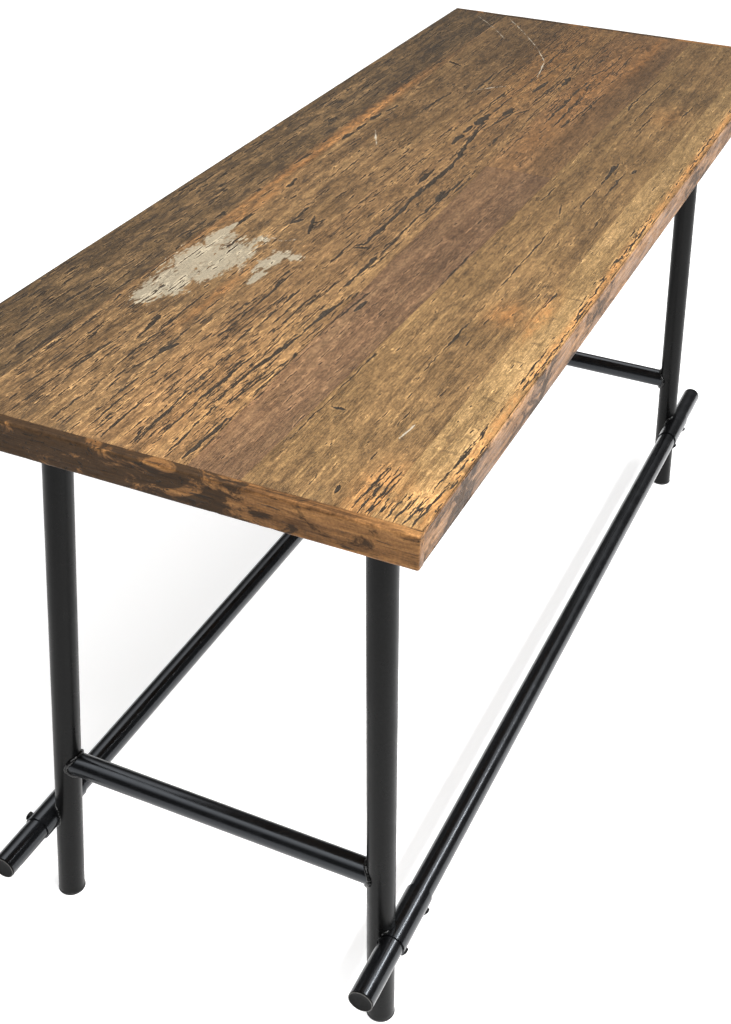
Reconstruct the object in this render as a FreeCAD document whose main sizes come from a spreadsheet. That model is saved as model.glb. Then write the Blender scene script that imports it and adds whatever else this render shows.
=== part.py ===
import FreeCAD, Part
import math
import os
import Sketcher

# Standing desk: a jointed plank top on four splayed tube legs.
# Frame of reference: origin on the floor under the middle of the top, +X along
# the length, -Y towards the front long side, +Z up. All sizes in millimetres.

Vector = FreeCAD.Vector

SIZES = [
    # the top
    ("top_length", 1920.0),
    ("top_thick", 45.0),
    ("desk_height", 1000.0),
    ("top_width", 720.0),
    ("lipping_thick", 14.0),
    # the joint lines between the planks, from the middle, at the near and far end
    ("joint_1_near", 233.0),
    ("joint_1_far", 239.0),
    ("joint_2_near", 82.0),
    ("joint_2_far", 82.0),
    ("joint_3_near", -73.0),
    ("joint_3_far", -22.0),
    ("joint_4_near", -140.0),
    ("joint_4_far", -177.0),
    ("joint_5_near", -297.0),
    ("joint_5_far", -308.0),
    ("butt_joint_x", 72.0),
    ("dowel_radius", 5.0),
    ("dowel_length", 40.0),
    ("dowel_fit", 0.03),
    ("dowel_bore_end", 0.5),
    ("dowel_pitch", 300.0),
    # the legs, measured where the cross rails meet them
    ("leg_radius", 21.2),
    ("leg_wall", 2.6),
    ("leg_x", 810.0),
    ("leg_y", 268.0),
    ("splay_along", 0.06),
    ("splay_across", 0.05),
    ("cross_rail_z", 280.0),
    # the rails and their sleeves
    ("rail_radius", 19.0),
    ("rail_wall", 2.5),
    ("rail_length", 1900.0),
    ("rail_z", 170.0),
    ("rail_shift_right", 9.0),
    ("rail_shift_left", -9.0),
    ("notch_depth", 18.4),
    ("cap_thick", 3.0),
    ("cap_spigot", 12.0),
    ("cap_fit", 0.05),
    ("sleeve_wall", 2.12),
    ("sleeve_length", 104.0),
    ("sleeve_fit", 0.08),
    ("sleeve_shift_near_right", 35.0),
    ("sleeve_shift_near_left", 0.0),
    ("sleeve_shift_far_right", 35.0),
    ("sleeve_shift_far_left", 6.0),
    # the clamping nuts and set screws on the sleeves
    ("clamp_inset", 11.5),
    ("clamp_angle_right", -50.0),
    ("clamp_angle_left", 15.0),
    ("nut_across_flats", 14.0),
    ("nut_proud", 4.5),
    ("screw_radius", 4.95),
    ("screw_fit", 0.05),
    ("screw_proud", 0.8),
    ("socket_across_flats", 5.0),
    ("socket_depth", 4.0),
    # head plates under the top
    ("plate_size", 112.0),
    ("plate_thick", 6.0),
    ("plate_screw_pitch", 84.0),
    ("wood_screw_radius", 2.5),
    ("wood_screw_length", 32.0),
    ("wood_screw_head", 5.0),
    ("wood_screw_head_thick", 3.0),
    ("wood_screw_fit", 0.05),
    ("plate_hole_fit", 0.3),
    # the levelling feet
    ("foot_radius", 22.0),
    ("foot_thick", 4.0),
    ("foot_chamfer", 0.8),
    ("end_plate_thick", 5.0),
    ("stud_length", 46.0),
    ("foot_nut_across_flats", 17.0),
    ("foot_nut_thick", 8.0),
    # welds
    ("bead", 3.6),
    ("weld_toe", 1.0),
    ("seam", 0.04),
    # how far a cutting solid reaches beyond what it cuts
    ("overcut", 1.0),
]

VALUE = dict(SIZES)
JOINTS = 5
SPLIT_BOARD = 4
SLEEVE_OUT = "(<rail_radius> + <sleeve_fit> + <sleeve_wall>)"

doc = FreeCAD.newDocument("StandingDesk")
sheet = doc.addObject("Spreadsheet::Sheet", "Sizes")
for row, (alias, number) in enumerate(SIZES, start=1):
    sheet.set("A%d" % row, alias)
    sheet.set("B%d" % row, str(number))
    sheet.setAlias("B%d" % row, alias)
doc.recompute()

NODES = []


def bind(item, **expressions):
    """Tie properties of an object to expressions over the sheet's cells."""
    for prop, expression in expressions.items():
        text = expression
        for alias in sorted(VALUE, key=len, reverse=True):
            text = text.replace("<%s>" % alias, "Sizes.%s" % alias)
        item.setExpression(prop, text)


def keep(item, label):
    """Name an object as a sub-part of the desk."""
    item.Label = label
    NODES.append(item)
    return item


def turned(base, direction):
    """Placement at a point with local +Z along a direction."""
    return FreeCAD.Placement(base, FreeCAD.Rotation(Vector(0, 0, 1), direction))


def cylinder(name, base, direction, radius, height):
    item = doc.addObject("Part::Cylinder", name)
    bind(item, Radius=radius, Height=height)
    item.Placement = turned(base, direction)
    return item


def box(name, corner, length, width, height):
    item = doc.addObject("Part::Box", name)
    bind(item, Length=length, Width=width, Height=height)
    item.Placement = FreeCAD.Placement(corner, FreeCAD.Rotation())
    return item


def prism(name, base, direction, across_flats, height):
    item = doc.addObject("Part::Prism", name)
    item.Polygon = 6
    bind(item, Circumradius="(%s) / 2 / cos(30 deg)" % across_flats, Height=height)
    item.Placement = turned(base, direction)
    return item


def group(name, items):
    item = doc.addObject("Part::Compound", name)
    item.Links = items
    return item


def cut(name, base, tools):
    """Cut one or more tools from a base object."""
    item = doc.addObject("Part::Cut", name)
    item.Base = base
    item.Tool = tools[0] if len(tools) == 1 else group(name + "_tools", tools)
    return item


def common(name, base, tool):
    item = doc.addObject("Part::Common", name)
    item.Base = base
    item.Tool = tool
    return item


def fuse(name, base, tool):
    item = doc.addObject("Part::Fuse", name)
    item.Base = base
    item.Tool = tool
    return item


def between(low, high):
    """Expression for a distance between two expressions."""
    return "(%s) - (%s)" % (high, low)


# ---------------------------------------------------------------- places

UNDERSIDE = VALUE["desk_height"] - VALUE["top_thick"]
LEG_TOP = UNDERSIDE - VALUE["plate_thick"]
LEG_FOOT = VALUE["foot_thick"] + VALUE["end_plate_thick"]
PLANK_END = VALUE["top_length"] / 2 - VALUE["lipping_thick"]
SLEEVE_RADIUS = VALUE["rail_radius"] + VALUE["sleeve_fit"] + VALUE["sleeve_wall"]

CORNERS = [
    ("near_right", -1, -1),
    ("near_left", -1, 1),
    ("far_right", 1, -1),
    ("far_left", 1, 1),
]
ENDS = [("near", -1), ("far", 1)]
SIDES = [("right", -1), ("left", 1)]


def leg_point(end, side, height):
    """Point of a leg's axis at a height above the floor."""
    drop = VALUE["cross_rail_z"] - height
    x = end * (VALUE["leg_x"] + VALUE["splay_along"] * drop)
    y = side * (VALUE["leg_y"] + VALUE["splay_across"] * drop)
    return Vector(x, y, height)


def leg_axis(end, side):
    """Direction of a leg, pointing up."""
    return leg_point(end, side, 1.0) - leg_point(end, side, 0.0)


def long_tube(name, end, side, radius):
    """Solid cylinder on a leg's axis, long enough to be trimmed at both ends."""
    start = leg_point(end, side, -VALUE["cross_rail_z"])
    return cylinder(name, start, leg_axis(end, side), radius,
                    "<desk_height> + 2 * <cross_rail_z>")


def rail_y(side):
    """Distance of a side rail's axis from the middle of the desk."""
    leg = leg_point(1, 1, VALUE["rail_z"])
    return side * (leg.y + VALUE["leg_radius"] + SLEEVE_RADIUS - VALUE["notch_depth"])


def rail_end(word, end, side):
    """Middle of the outer face of one end of a side rail."""
    x = end * VALUE["rail_length"] / 2 + VALUE["rail_shift_%s" % word]
    return Vector(x, rail_y(side), VALUE["rail_z"])


def sleeve_middle(corner, end, side):
    """Middle of a sleeve, moved from its leg towards the middle of the desk."""
    leg = leg_point(end, side, VALUE["rail_z"])
    x = leg.x - end * VALUE["sleeve_shift_%s" % corner]
    return Vector(x, rail_y(side), VALUE["rail_z"])


def clamp_direction(side):
    """Direction in which the set screws of one side point out of a sleeve."""
    name = "clamp_angle_right" if side < 0 else "clamp_angle_left"
    angle = math.radians(VALUE[name])
    return Vector(0, side * math.cos(angle), math.sin(angle))


def clamp_centres(corner, end, side):
    """Points of the sleeve's axis under its two set screws."""
    middle = sleeve_middle(corner, end, side)
    reach = VALUE["sleeve_length"] / 2 - VALUE["clamp_inset"]
    return [middle + Vector(step * reach, 0, 0) for step in (-1, 1)]


def plate_screw_points():
    """Places of the wood screws that hold the four head plates."""
    half = VALUE["plate_screw_pitch"] / 2
    points = []
    for corner, end, side in CORNERS:
        head = leg_point(end, side, LEG_TOP)
        for dx in (-half, half):
            for dy in (-half, half):
                points.append(head + Vector(dx, dy, 0))
    return points


def edge_y(joint, x):
    """Place of a joint line across the desk; 0 and 6 are the long sides."""
    if joint in (0, JOINTS + 1):
        return (VALUE["top_width"] if joint == 0 else -VALUE["top_width"]) / 2
    near = VALUE["joint_%d_near" % joint]
    far = VALUE["joint_%d_far" % joint]
    return near + (far - near) * (x + PLANK_END) / (2 * PLANK_END)


def edge_text(joint, x_text):
    """The same place as an expression over the sheet's cells."""
    if joint == 0:
        return "<top_width> / 2"
    if joint == JOINTS + 1:
        return "-<top_width> / 2"
    length = "(<top_length> - 2 * <lipping_thick>)"
    share = "(0.5 + (%s) / %s)" % (x_text, length)
    step = "(<joint_%d_far> - <joint_%d_near>)" % (joint, joint)
    return "<joint_%d_near> + %s * %s" % (joint, step, share)


def dowel_points():
    """The dowels as (joint, x), evenly spaced along every joint."""
    steps = int((PLANK_END - VALUE["lipping_thick"]) / VALUE["dowel_pitch"])
    points = []
    for joint in range(1, JOINTS + 1):
        for step in range(-steps, steps + 1):
            points.append((joint, step * VALUE["dowel_pitch"]))
    return points


# ---------------------------------------------------------------- the top


def screw_bores(label, number, low_x, high_x):
    """Pilot bores for the wood screws that enter one plank."""
    bores = []
    for index, point in enumerate(plate_screw_points()):
        across = edge_y(number, point.x) < point.y < edge_y(number - 1, point.x)
        if across and low_x < point.x < high_x:
            bores.append(cylinder("pilot_%s_%d" % (label, index),
                                  Vector(point.x, point.y, UNDERSIDE - VALUE["overcut"]),
                                  Vector(0, 0, 1),
                                  "<wood_screw_radius> + <wood_screw_fit>",
                                  "<wood_screw_length> - <plate_thick> + 2 * <overcut>"))
    return bores


def dowel_bores(label, number, low_x, high_x):
    """Bores for the dowels that join one plank to its neighbours."""
    bores = []
    middle_z = UNDERSIDE + VALUE["top_thick"] / 2
    half = VALUE["dowel_length"] / 2 + VALUE["dowel_bore_end"]
    for index, (joint, x) in enumerate(dowel_points()):
        if joint in (number - 1, number) and low_x < x < high_x:
            bores.append(cylinder("dowel_bore_%s_%d" % (label, index),
                                  Vector(x, edge_y(joint, x) - half, middle_z),
                                  Vector(0, 1, 0), "<dowel_radius> + <dowel_fit>",
                                  "<dowel_length> + 2 * <dowel_bore_end>"))
    return bores


def make_plank(label, number, low, high):
    """One plank between two joint lines, drilled for its dowels and screws.

    low and high are the places of its two ends: a number and an expression each.
    """
    blank = doc.addObject("Part::Wedge", "plank_blank_%s" % label)
    bind(blank, Xmin=edge_text(number, high[1]), Xmax=edge_text(number - 1, high[1]),
         X2min=edge_text(number, low[1]), X2max=edge_text(number - 1, low[1]),
         Ymin="0", Ymax=between(low[1], high[1]),
         Zmin="0", Z2min="0", Zmax="<top_thick>", Z2max="<top_thick>")
    quarter_turn = FreeCAD.Rotation(Vector(0, 0, 1), 90)
    blank.Placement = FreeCAD.Placement(Vector(high[0], 0, UNDERSIDE), quarter_turn)
    bores = screw_bores(label, number, low[0], high[0])
    bores += dowel_bores(label, number, low[0], high[0])
    keep(cut("Plank_%s" % label, blank, bores), "top_board_%s" % label)


def make_planks():
    """The six planks; the fourth is butted from two lengths."""
    far = (PLANK_END, "<top_length> / 2 - <lipping_thick>")
    near = (-PLANK_END, "<lipping_thick> - <top_length> / 2")
    butt = (VALUE["butt_joint_x"], "<butt_joint_x>")
    for number in range(1, JOINTS + 2):
        if number == SPLIT_BOARD:
            make_plank("%d_near" % number, number, near, butt)
            make_plank("%d_far" % number, number, butt, far)
        else:
            make_plank("%d" % number, number, near, far)


def make_lipping(word, end):
    """Strip of wood across one end of the planks."""
    edge = end * VALUE["top_length"] / 2
    start = edge if end < 0 else edge - VALUE["lipping_thick"]
    strip = box("Lipping_%s" % word, Vector(start, -VALUE["top_width"] / 2, UNDERSIDE),
                "<lipping_thick>", "<top_width>", "<top_thick>")
    keep(strip, "end_lipping_%s" % word)


def make_dowels():
    """Hidden dowels across the joints between the planks."""
    middle_z = UNDERSIDE + VALUE["top_thick"] / 2
    half = VALUE["dowel_length"] / 2
    dowels = []
    for index, (joint, x) in enumerate(dowel_points()):
        dowels.append(cylinder("Dowel_%d" % index,
                               Vector(x, edge_y(joint, x) - half, middle_z),
                               Vector(0, 1, 0), "<dowel_radius>", "<dowel_length>"))
    keep(group("Dowels", dowels), "edge_dowels")


# ---------------------------------------------------------------- the legs


def make_leg(corner, end, side):
    """Splayed tube, cut level at both ends and notched for its sleeve."""
    outer = long_tube("leg_outer_%s" % corner, end, side, "<leg_radius>")
    bore = long_tube("leg_bore_%s" % corner, end, side, "<leg_radius> - <leg_wall>")
    tube = cut("leg_tube_%s" % corner, outer, [bore])
    foot = leg_point(end, side, LEG_FOOT)
    trim = box("leg_trim_%s" % corner,
               Vector(foot.x - VALUE["desk_height"] / 2, foot.y - VALUE["desk_height"] / 2,
                      LEG_FOOT),
               "<desk_height>", "<desk_height>",
               "<desk_height> - <top_thick> - <plate_thick>"
               " - <foot_thick> - <end_plate_thick>")
    trimmed = common("leg_trimmed_%s" % corner, tube, trim)
    crossing = leg_point(end, side, VALUE["rail_z"])
    reach = VALUE["leg_radius"] * 2
    notch = cylinder("leg_notch_%s" % corner,
                     Vector(crossing.x - reach, rail_y(side), VALUE["rail_z"]),
                     Vector(1, 0, 0), SLEEVE_OUT + " + <seam>", "4 * <leg_radius>")
    keep(cut("Leg_%s" % corner, trimmed, [notch]), "leg_%s" % corner)


def make_head_plate(corner, end, side):
    """Square plate welded on a leg and screwed under the boards."""
    head = leg_point(end, side, LEG_TOP)
    half = VALUE["plate_size"] / 2
    blank = box("plate_blank_%s" % corner, head - Vector(half, half, 0),
                "<plate_size>", "<plate_size>", "<plate_thick>")
    bores = []
    pitch = VALUE["plate_screw_pitch"] / 2
    for index, (dx, dy) in enumerate([(-1, -1), (-1, 1), (1, -1), (1, 1)]):
        bores.append(cylinder("plate_bore_%s_%d" % (corner, index),
                              head + Vector(dx * pitch, dy * pitch, -VALUE["overcut"]),
                              Vector(0, 0, 1),
                              "<wood_screw_radius> + <plate_hole_fit>",
                              "<plate_thick> + 2 * <overcut>"))
    keep(cut("HeadPlate_%s" % corner, blank, bores), "head_plate_%s" % corner)


def make_head_weld(corner, end, side):
    """Fillet of weld around the top of a leg."""
    head = leg_point(end, side, LEG_TOP)
    cone = doc.addObject("Part::Cone", "head_weld_cone_%s" % corner)
    bind(cone, Radius1="<leg_radius> + <weld_toe>",
         Radius2="<leg_radius> + <bead> + <weld_toe>", Height="<bead> + <weld_toe>")
    low = leg_point(end, side, LEG_TOP - VALUE["bead"] - VALUE["weld_toe"])
    cone.Placement = FreeCAD.Placement(Vector(head.x, head.y, low.z), FreeCAD.Rotation())
    leg = long_tube("head_weld_leg_%s" % corner, end, side, "<leg_radius> + <seam>")
    return cut("HeadWeld_%s" % corner, cone, [leg])


def make_wood_screws():
    """Pan head screws that hold the head plates to the boards."""
    screws = []
    for index, point in enumerate(plate_screw_points()):
        shank = cylinder("wood_shank_%d" % index, point, Vector(0, 0, 1),
                         "<wood_screw_radius>", "<wood_screw_length>")
        below = point - Vector(0, 0, VALUE["wood_screw_head_thick"])
        head = cylinder("wood_head_%d" % index, below, Vector(0, 0, 1),
                        "<wood_screw_head>", "<wood_screw_head_thick>")
        screws.append(fuse("WoodScrew_%d" % index, shank, head))
    keep(group("WoodScrews", screws), "wood_screws")


# ---------------------------------------------------------------- the rails


def make_cross_rail(word, end):
    """Tube between the two legs of one end, coped to fit round both."""
    start = leg_point(end, -1, VALUE["cross_rail_z"])
    outer = cylinder("cross_outer_%s" % word, start, Vector(0, 1, 0),
                     "<rail_radius>", "2 * <leg_y>")
    bore = cylinder("cross_bore_%s" % word, start, Vector(0, 1, 0),
                    "<rail_radius> - <rail_wall>", "2 * <leg_y>")
    tube = cut("cross_tube_%s" % word, outer, [bore])
    copes = []
    for name, side in SIDES:
        copes.append(long_tube("cope_%s_%s" % (word, name), end, side,
                               "<leg_radius> + <seam>"))
    keep(cut("CrossRail_%s" % word, tube, copes), "cross_rail_%s" % word)


def weld_seam(name, end, side, start, direction, radius, height):
    """Bead that follows the line where a tube meets a leg."""
    leg_out = long_tube(name + "_leg_out", end, side, "<leg_radius> + <seam> + <bead>")
    leg_in = long_tube(name + "_leg_in", end, side, "<leg_radius> + <seam>")
    tube_out = cylinder(name + "_out", start, direction,
                        "%s + <seam> + <bead>" % radius, height)
    tube_in = cylinder(name + "_in", start, direction, "%s + <seam>" % radius, height)
    around_leg = cut(name + "_around_leg", leg_out, [leg_in])
    around_tube = cut(name + "_around_tube", tube_out, [tube_in])
    return common(name, around_leg, around_tube)


def make_cross_rail_weld(corner, end, side):
    start = leg_point(end, side, VALUE["cross_rail_z"])
    return weld_seam("CrossWeld_%s" % corner, end, side, start, Vector(0, -side, 0),
                     "<rail_radius>", "3 * <leg_radius>")


def make_sleeve(corner, end, side):
    """Short tube welded in the notch of a leg, with two tapped holes."""
    middle = sleeve_middle(corner, end, side)
    start = middle - Vector(VALUE["sleeve_length"] / 2, 0, 0)
    outer = cylinder("sleeve_outer_%s" % corner, start, Vector(1, 0, 0),
                     SLEEVE_OUT, "<sleeve_length>")
    bore = cylinder("sleeve_bore_%s" % corner, start, Vector(1, 0, 0),
                    "<rail_radius> + <sleeve_fit>", "<sleeve_length>")
    holes = [bore]
    for index, centre in enumerate(clamp_centres(corner, end, side)):
        holes.append(cylinder("sleeve_hole_%s_%d" % (corner, index), centre,
                              clamp_direction(side), "<screw_radius> + <screw_fit>",
                              "2 * " + SLEEVE_OUT))
    keep(cut("Sleeve_%s" % corner, outer, holes), "sleeve_%s" % corner)


def make_sleeve_weld(corner, end, side):
    middle = sleeve_middle(corner, end, side)
    start = middle - Vector(VALUE["sleeve_length"] / 2, 0, 0)
    return weld_seam("SleeveWeld_%s" % corner, end, side, start, Vector(1, 0, 0),
                     SLEEVE_OUT, "<sleeve_length>")


def make_clamp_nut(name, centre, side):
    """Hexagon nut saddled on a sleeve over one of its holes."""
    outward = clamp_direction(side)
    block = prism(name + "_block", centre, outward, "<nut_across_flats>",
                  SLEEVE_OUT + " + <nut_proud>")
    saddle = cylinder(name + "_saddle", centre - Vector(VALUE["sleeve_length"] / 2, 0, 0),
                      Vector(1, 0, 0), SLEEVE_OUT + " + <seam>", "<sleeve_length>")
    bore = cylinder(name + "_bore", centre, outward, "<screw_radius> + <screw_fit>",
                    "2 * " + SLEEVE_OUT)
    return cut(name, block, [saddle, bore])


def make_clamp_screw(name, centre, side):
    """Set screw with a hexagon socket, its point just off the rail."""
    outward = clamp_direction(side)
    point = centre + outward * (VALUE["rail_radius"] + VALUE["sleeve_fit"])
    length = between("<rail_radius> + <sleeve_fit>",
                     SLEEVE_OUT + " + <nut_proud> + <screw_proud>")
    rod = cylinder(name + "_rod", point, outward, "<screw_radius>", length)
    top = SLEEVE_RADIUS + VALUE["nut_proud"] + VALUE["screw_proud"]
    floor = centre + outward * (top - VALUE["socket_depth"])
    socket = prism(name + "_socket", floor, outward, "<socket_across_flats>",
                   "<socket_depth> + <overcut>")
    return cut(name, rod, [socket])


def make_clamps():
    """The nuts and the set screws of the four sleeves, as two groups."""
    nuts = []
    screws = []
    for corner, end, side in CORNERS:
        for index, centre in enumerate(clamp_centres(corner, end, side)):
            nuts.append(make_clamp_nut("Nut_%s_%d" % (corner, index), centre, side))
            screws.append(make_clamp_screw("Screw_%s_%d" % (corner, index), centre, side))
    keep(group("ClampNuts", nuts), "clamp_nuts")
    keep(group("ClampScrews", screws), "clamp_screws")


def make_side_rail(word, side):
    """Long tube that slides in the sleeves of one side."""
    start = rail_end(word, -1, side) + Vector(VALUE["cap_thick"], 0, 0)
    length = "<rail_length> - 2 * <cap_thick>"
    outer = cylinder("rail_outer_%s" % word, start, Vector(1, 0, 0), "<rail_radius>", length)
    bore = cylinder("rail_bore_%s" % word, start, Vector(1, 0, 0),
                    "<rail_radius> - <rail_wall>", length)
    keep(cut("SideRail_%s" % word, outer, [bore]), "side_rail_%s" % word)


def make_rail_cap(corner, end, side):
    """Flat disc on the end of a side rail, with a spigot inside the tube."""
    face = rail_end(corner.split("_")[1], end, side)
    inward = Vector(-end, 0, 0)
    disc = cylinder("cap_disc_%s" % corner, face, inward, "<rail_radius>", "<cap_thick>")
    spigot = cylinder("cap_spigot_%s" % corner, face, inward,
                      "<rail_radius> - <rail_wall> - <cap_fit>",
                      "<cap_thick> + <cap_spigot>")
    keep(fuse("RailCap_%s" % corner, disc, spigot), "rail_cap_%s" % corner)


# ---------------------------------------------------------------- the feet


def make_leg_end_plate(corner, end, side):
    """Round plate closing the foot of a leg, with the foot's bore in it."""
    base = leg_point(end, side, LEG_FOOT)
    base.z = VALUE["foot_thick"]
    disc = cylinder("end_disc_%s" % corner, base, Vector(0, 0, 1), "<leg_radius>",
                    "<end_plate_thick>")
    bore = cylinder("end_bore_%s" % corner, base - Vector(0, 0, VALUE["overcut"]),
                    Vector(0, 0, 1), "<screw_radius> + <screw_fit>",
                    "<end_plate_thick> + 2 * <overcut>")
    keep(cut("EndPlate_%s" % corner, disc, [bore]), "leg_end_plate_%s" % corner)


def make_foot_nut(corner, end, side):
    """Hexagon nut welded on the end plate inside the leg."""
    base = leg_point(end, side, LEG_FOOT)
    block = prism("foot_nut_block_%s" % corner, base, Vector(0, 0, 1),
                  "<foot_nut_across_flats>", "<foot_nut_thick>")
    bore = cylinder("foot_nut_bore_%s" % corner, base, Vector(0, 0, 1),
                    "<screw_radius> + <screw_fit>", "<foot_nut_thick>")
    return cut("FootNut_%s" % corner, block, [bore])


def make_foot(corner, end, side):
    """Levelling foot: a disc on the floor and its threaded stud."""
    centre = leg_point(end, side, LEG_FOOT)
    centre.z = 0.0
    body = doc.addObject("PartDesign::Body", "FootDisc_%s" % corner)
    plane = next(item for item in body.Origin.OriginFeatures if item.Role == "XY_Plane")
    sketch = body.newObject("Sketcher::SketchObject", "FootSketch_%s" % corner)
    sketch.AttachmentSupport = (plane, [""])
    sketch.MapMode = "FlatFace"
    circle = Part.Circle(Vector(0, 0, 0), Vector(0, 0, 1), VALUE["foot_radius"])
    sketch.addGeometry(circle, False)
    sketch.addConstraint(Sketcher.Constraint("Coincident", 0, 3, -1, 1))
    radius = sketch.addConstraint(Sketcher.Constraint("Radius", 0, VALUE["foot_radius"]))
    sketch.setExpression("Constraints[%d]" % radius, "Sizes.foot_radius")
    pad = body.newObject("PartDesign::Pad", "FootPad_%s" % corner)
    pad.Profile = sketch
    bind(pad, Length="<foot_thick>")
    doc.recompute()
    chamfer = body.newObject("PartDesign::Chamfer", "FootChamfer_%s" % corner)
    chamfer.Base = (pad, ["Edge%d" % (number + 1) for number in range(len(pad.Shape.Edges))
                          if len(pad.Shape.Edges[number].Vertexes) == 1])
    bind(chamfer, Size="<foot_chamfer>")
    body.Tip = chamfer
    body.Placement = FreeCAD.Placement(centre, FreeCAD.Rotation())
    keep(body, "foot_disc_%s" % corner)
    stud = cylinder("FootStud_%s" % corner, centre + Vector(0, 0, VALUE["foot_thick"]),
                    Vector(0, 0, 1), "<screw_radius>", "<stud_length>")
    keep(stud, "foot_stud_%s" % corner)


# ---------------------------------------------------------------- assembly

make_planks()
for end_word, end_sign in ENDS:
    make_lipping(end_word, end_sign)
    make_cross_rail(end_word, end_sign)
make_dowels()
make_wood_screws()

for corner_word, end_sign, side_sign in CORNERS:
    make_leg(corner_word, end_sign, side_sign)
    make_head_plate(corner_word, end_sign, side_sign)
    make_sleeve(corner_word, end_sign, side_sign)
    make_rail_cap(corner_word, end_sign, side_sign)
    make_leg_end_plate(corner_word, end_sign, side_sign)
    make_foot(corner_word, end_sign, side_sign)
for side_word, side_sign in SIDES:
    make_side_rail(side_word, side_sign)
make_clamps()

keep(group("FootNuts", [make_foot_nut(*corner) for corner in CORNERS]), "foot_nuts")
keep(group("HeadWelds", [make_head_weld(*corner) for corner in CORNERS]), "head_welds")
keep(group("CrossWelds", [make_cross_rail_weld(*corner) for corner in CORNERS]),
     "cross_rail_welds")
keep(group("SleeveWelds", [make_sleeve_weld(*corner) for corner in CORNERS]),
     "sleeve_welds")

doc.recompute()

# ---------------------------------------------------------------- check and export

for item in doc.Objects:
    if "Invalid" in item.State or "Error" in item.State:
        raise RuntimeError("%s did not compute: %s" % (item.Name, item.State))
for item in NODES:
    if item.Shape.isNull() or not item.Shape.isValid() or not item.Shape.Solids:
        raise RuntimeError("%s has no valid shape" % item.Label)

os.makedirs("parts", exist_ok=True)
for item in NODES:
    item.Shape.exportStep("parts/%s.step" % item.Label)
print("%d nodes written" % len(NODES))
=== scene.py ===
import math

import bmesh
import bpy
import numpy as np
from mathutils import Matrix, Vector


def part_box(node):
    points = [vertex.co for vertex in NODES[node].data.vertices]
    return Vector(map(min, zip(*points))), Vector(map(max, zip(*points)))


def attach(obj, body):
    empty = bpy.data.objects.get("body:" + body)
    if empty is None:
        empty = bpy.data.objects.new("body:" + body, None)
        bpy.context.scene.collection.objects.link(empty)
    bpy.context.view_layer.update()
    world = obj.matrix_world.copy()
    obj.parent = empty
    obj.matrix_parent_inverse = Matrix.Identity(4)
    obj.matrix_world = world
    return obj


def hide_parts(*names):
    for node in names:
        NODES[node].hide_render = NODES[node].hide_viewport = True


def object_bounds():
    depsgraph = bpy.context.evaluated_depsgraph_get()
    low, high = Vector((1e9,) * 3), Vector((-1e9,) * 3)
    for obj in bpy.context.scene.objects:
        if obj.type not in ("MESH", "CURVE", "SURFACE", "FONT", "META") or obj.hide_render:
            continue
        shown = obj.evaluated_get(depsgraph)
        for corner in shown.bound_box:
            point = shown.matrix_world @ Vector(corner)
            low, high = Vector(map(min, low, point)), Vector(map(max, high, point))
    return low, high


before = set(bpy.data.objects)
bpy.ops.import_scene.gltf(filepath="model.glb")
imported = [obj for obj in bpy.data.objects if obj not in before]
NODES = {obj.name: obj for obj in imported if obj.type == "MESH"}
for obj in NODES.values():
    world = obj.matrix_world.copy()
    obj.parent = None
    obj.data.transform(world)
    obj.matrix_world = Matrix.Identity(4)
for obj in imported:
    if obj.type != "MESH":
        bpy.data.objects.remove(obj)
CAD_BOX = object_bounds()
MM = 0.001
CORNERS = ["near_right", "near_left", "far_right", "far_left"]

# ------------------------------------------------------------------ numbers


def smooth(value, low, high):
    """0 below low, 1 above high, with a soft step between."""
    share = np.clip((value - low) / (high - low), 0.0, 1.0)
    return share * share * (3.0 - 2.0 * share)


def hashed(ix, iy, seed):
    """Repeatable numbers from 0 to 1 for the points of a whole-number lattice."""
    mask = np.int64(0x7FFFFFFF)
    n = (ix.astype(np.int64) * 73856093) ^ (iy.astype(np.int64) * 19349663)
    n = (n ^ np.int64(seed * 83492791)) & mask
    n = ((n ^ (n >> 13)) * 1274126) & mask
    n = ((n ^ (n >> 11)) * 961748) & mask
    return (n ^ (n >> 9)) / float(mask)


def noise(x, y, seed):
    """Smooth noise from -1 to 1, one feature per unit of x and y."""
    ix = np.floor(x)
    iy = np.floor(y)
    fx = x - ix
    fy = y - iy
    fx = fx * fx * (3.0 - 2.0 * fx)
    fy = fy * fy * (3.0 - 2.0 * fy)
    low = hashed(ix, iy, seed) * (1 - fx) + hashed(ix + 1, iy, seed) * fx
    high = hashed(ix, iy + 1, seed) * (1 - fx) + hashed(ix + 1, iy + 1, seed) * fx
    return 2.0 * (low * (1 - fy) + high * fy) - 1.0


def turns(count):
    """Angles evenly round a circle."""
    return np.linspace(0, 2 * math.pi, count, endpoint=False)


def layered(x, y, seed, layers=3):
    """Several layers of noise, each twice as fine and half as strong."""
    total = 0.0
    for layer in range(layers):
        step = 2.0 ** layer
        total = total + noise(x * step, y * step, seed + layer) / step
    return total / 1.75


# ------------------------------------------------------------------ the frame


def box_of(node):
    """Lowest and highest corner of a CAD node, in metres."""
    low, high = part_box(node)
    return np.array(low), np.array(high)


def points_of(node):
    """The points of a CAD node's mesh, in metres."""
    mesh = NODES[node].data
    points = np.zeros(len(mesh.vertices) * 3)
    mesh.vertices.foreach_get("co", points)
    return points.reshape(-1, 3)


# ------------------------------------------------------------------ meshes


def in_scene(name, data):
    """A new object that shows a mesh, a light or a camera."""
    item = bpy.data.objects.new(name, data)
    bpy.context.scene.collection.objects.link(item)
    return item


def add_object(name, mesh, materials, body):
    """Put a mesh in the scene, with its materials, on a body of the frame."""
    item = in_scene(name, mesh)
    for material in materials:
        mesh.materials.append(material)
    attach(item, body)
    return item


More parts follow.
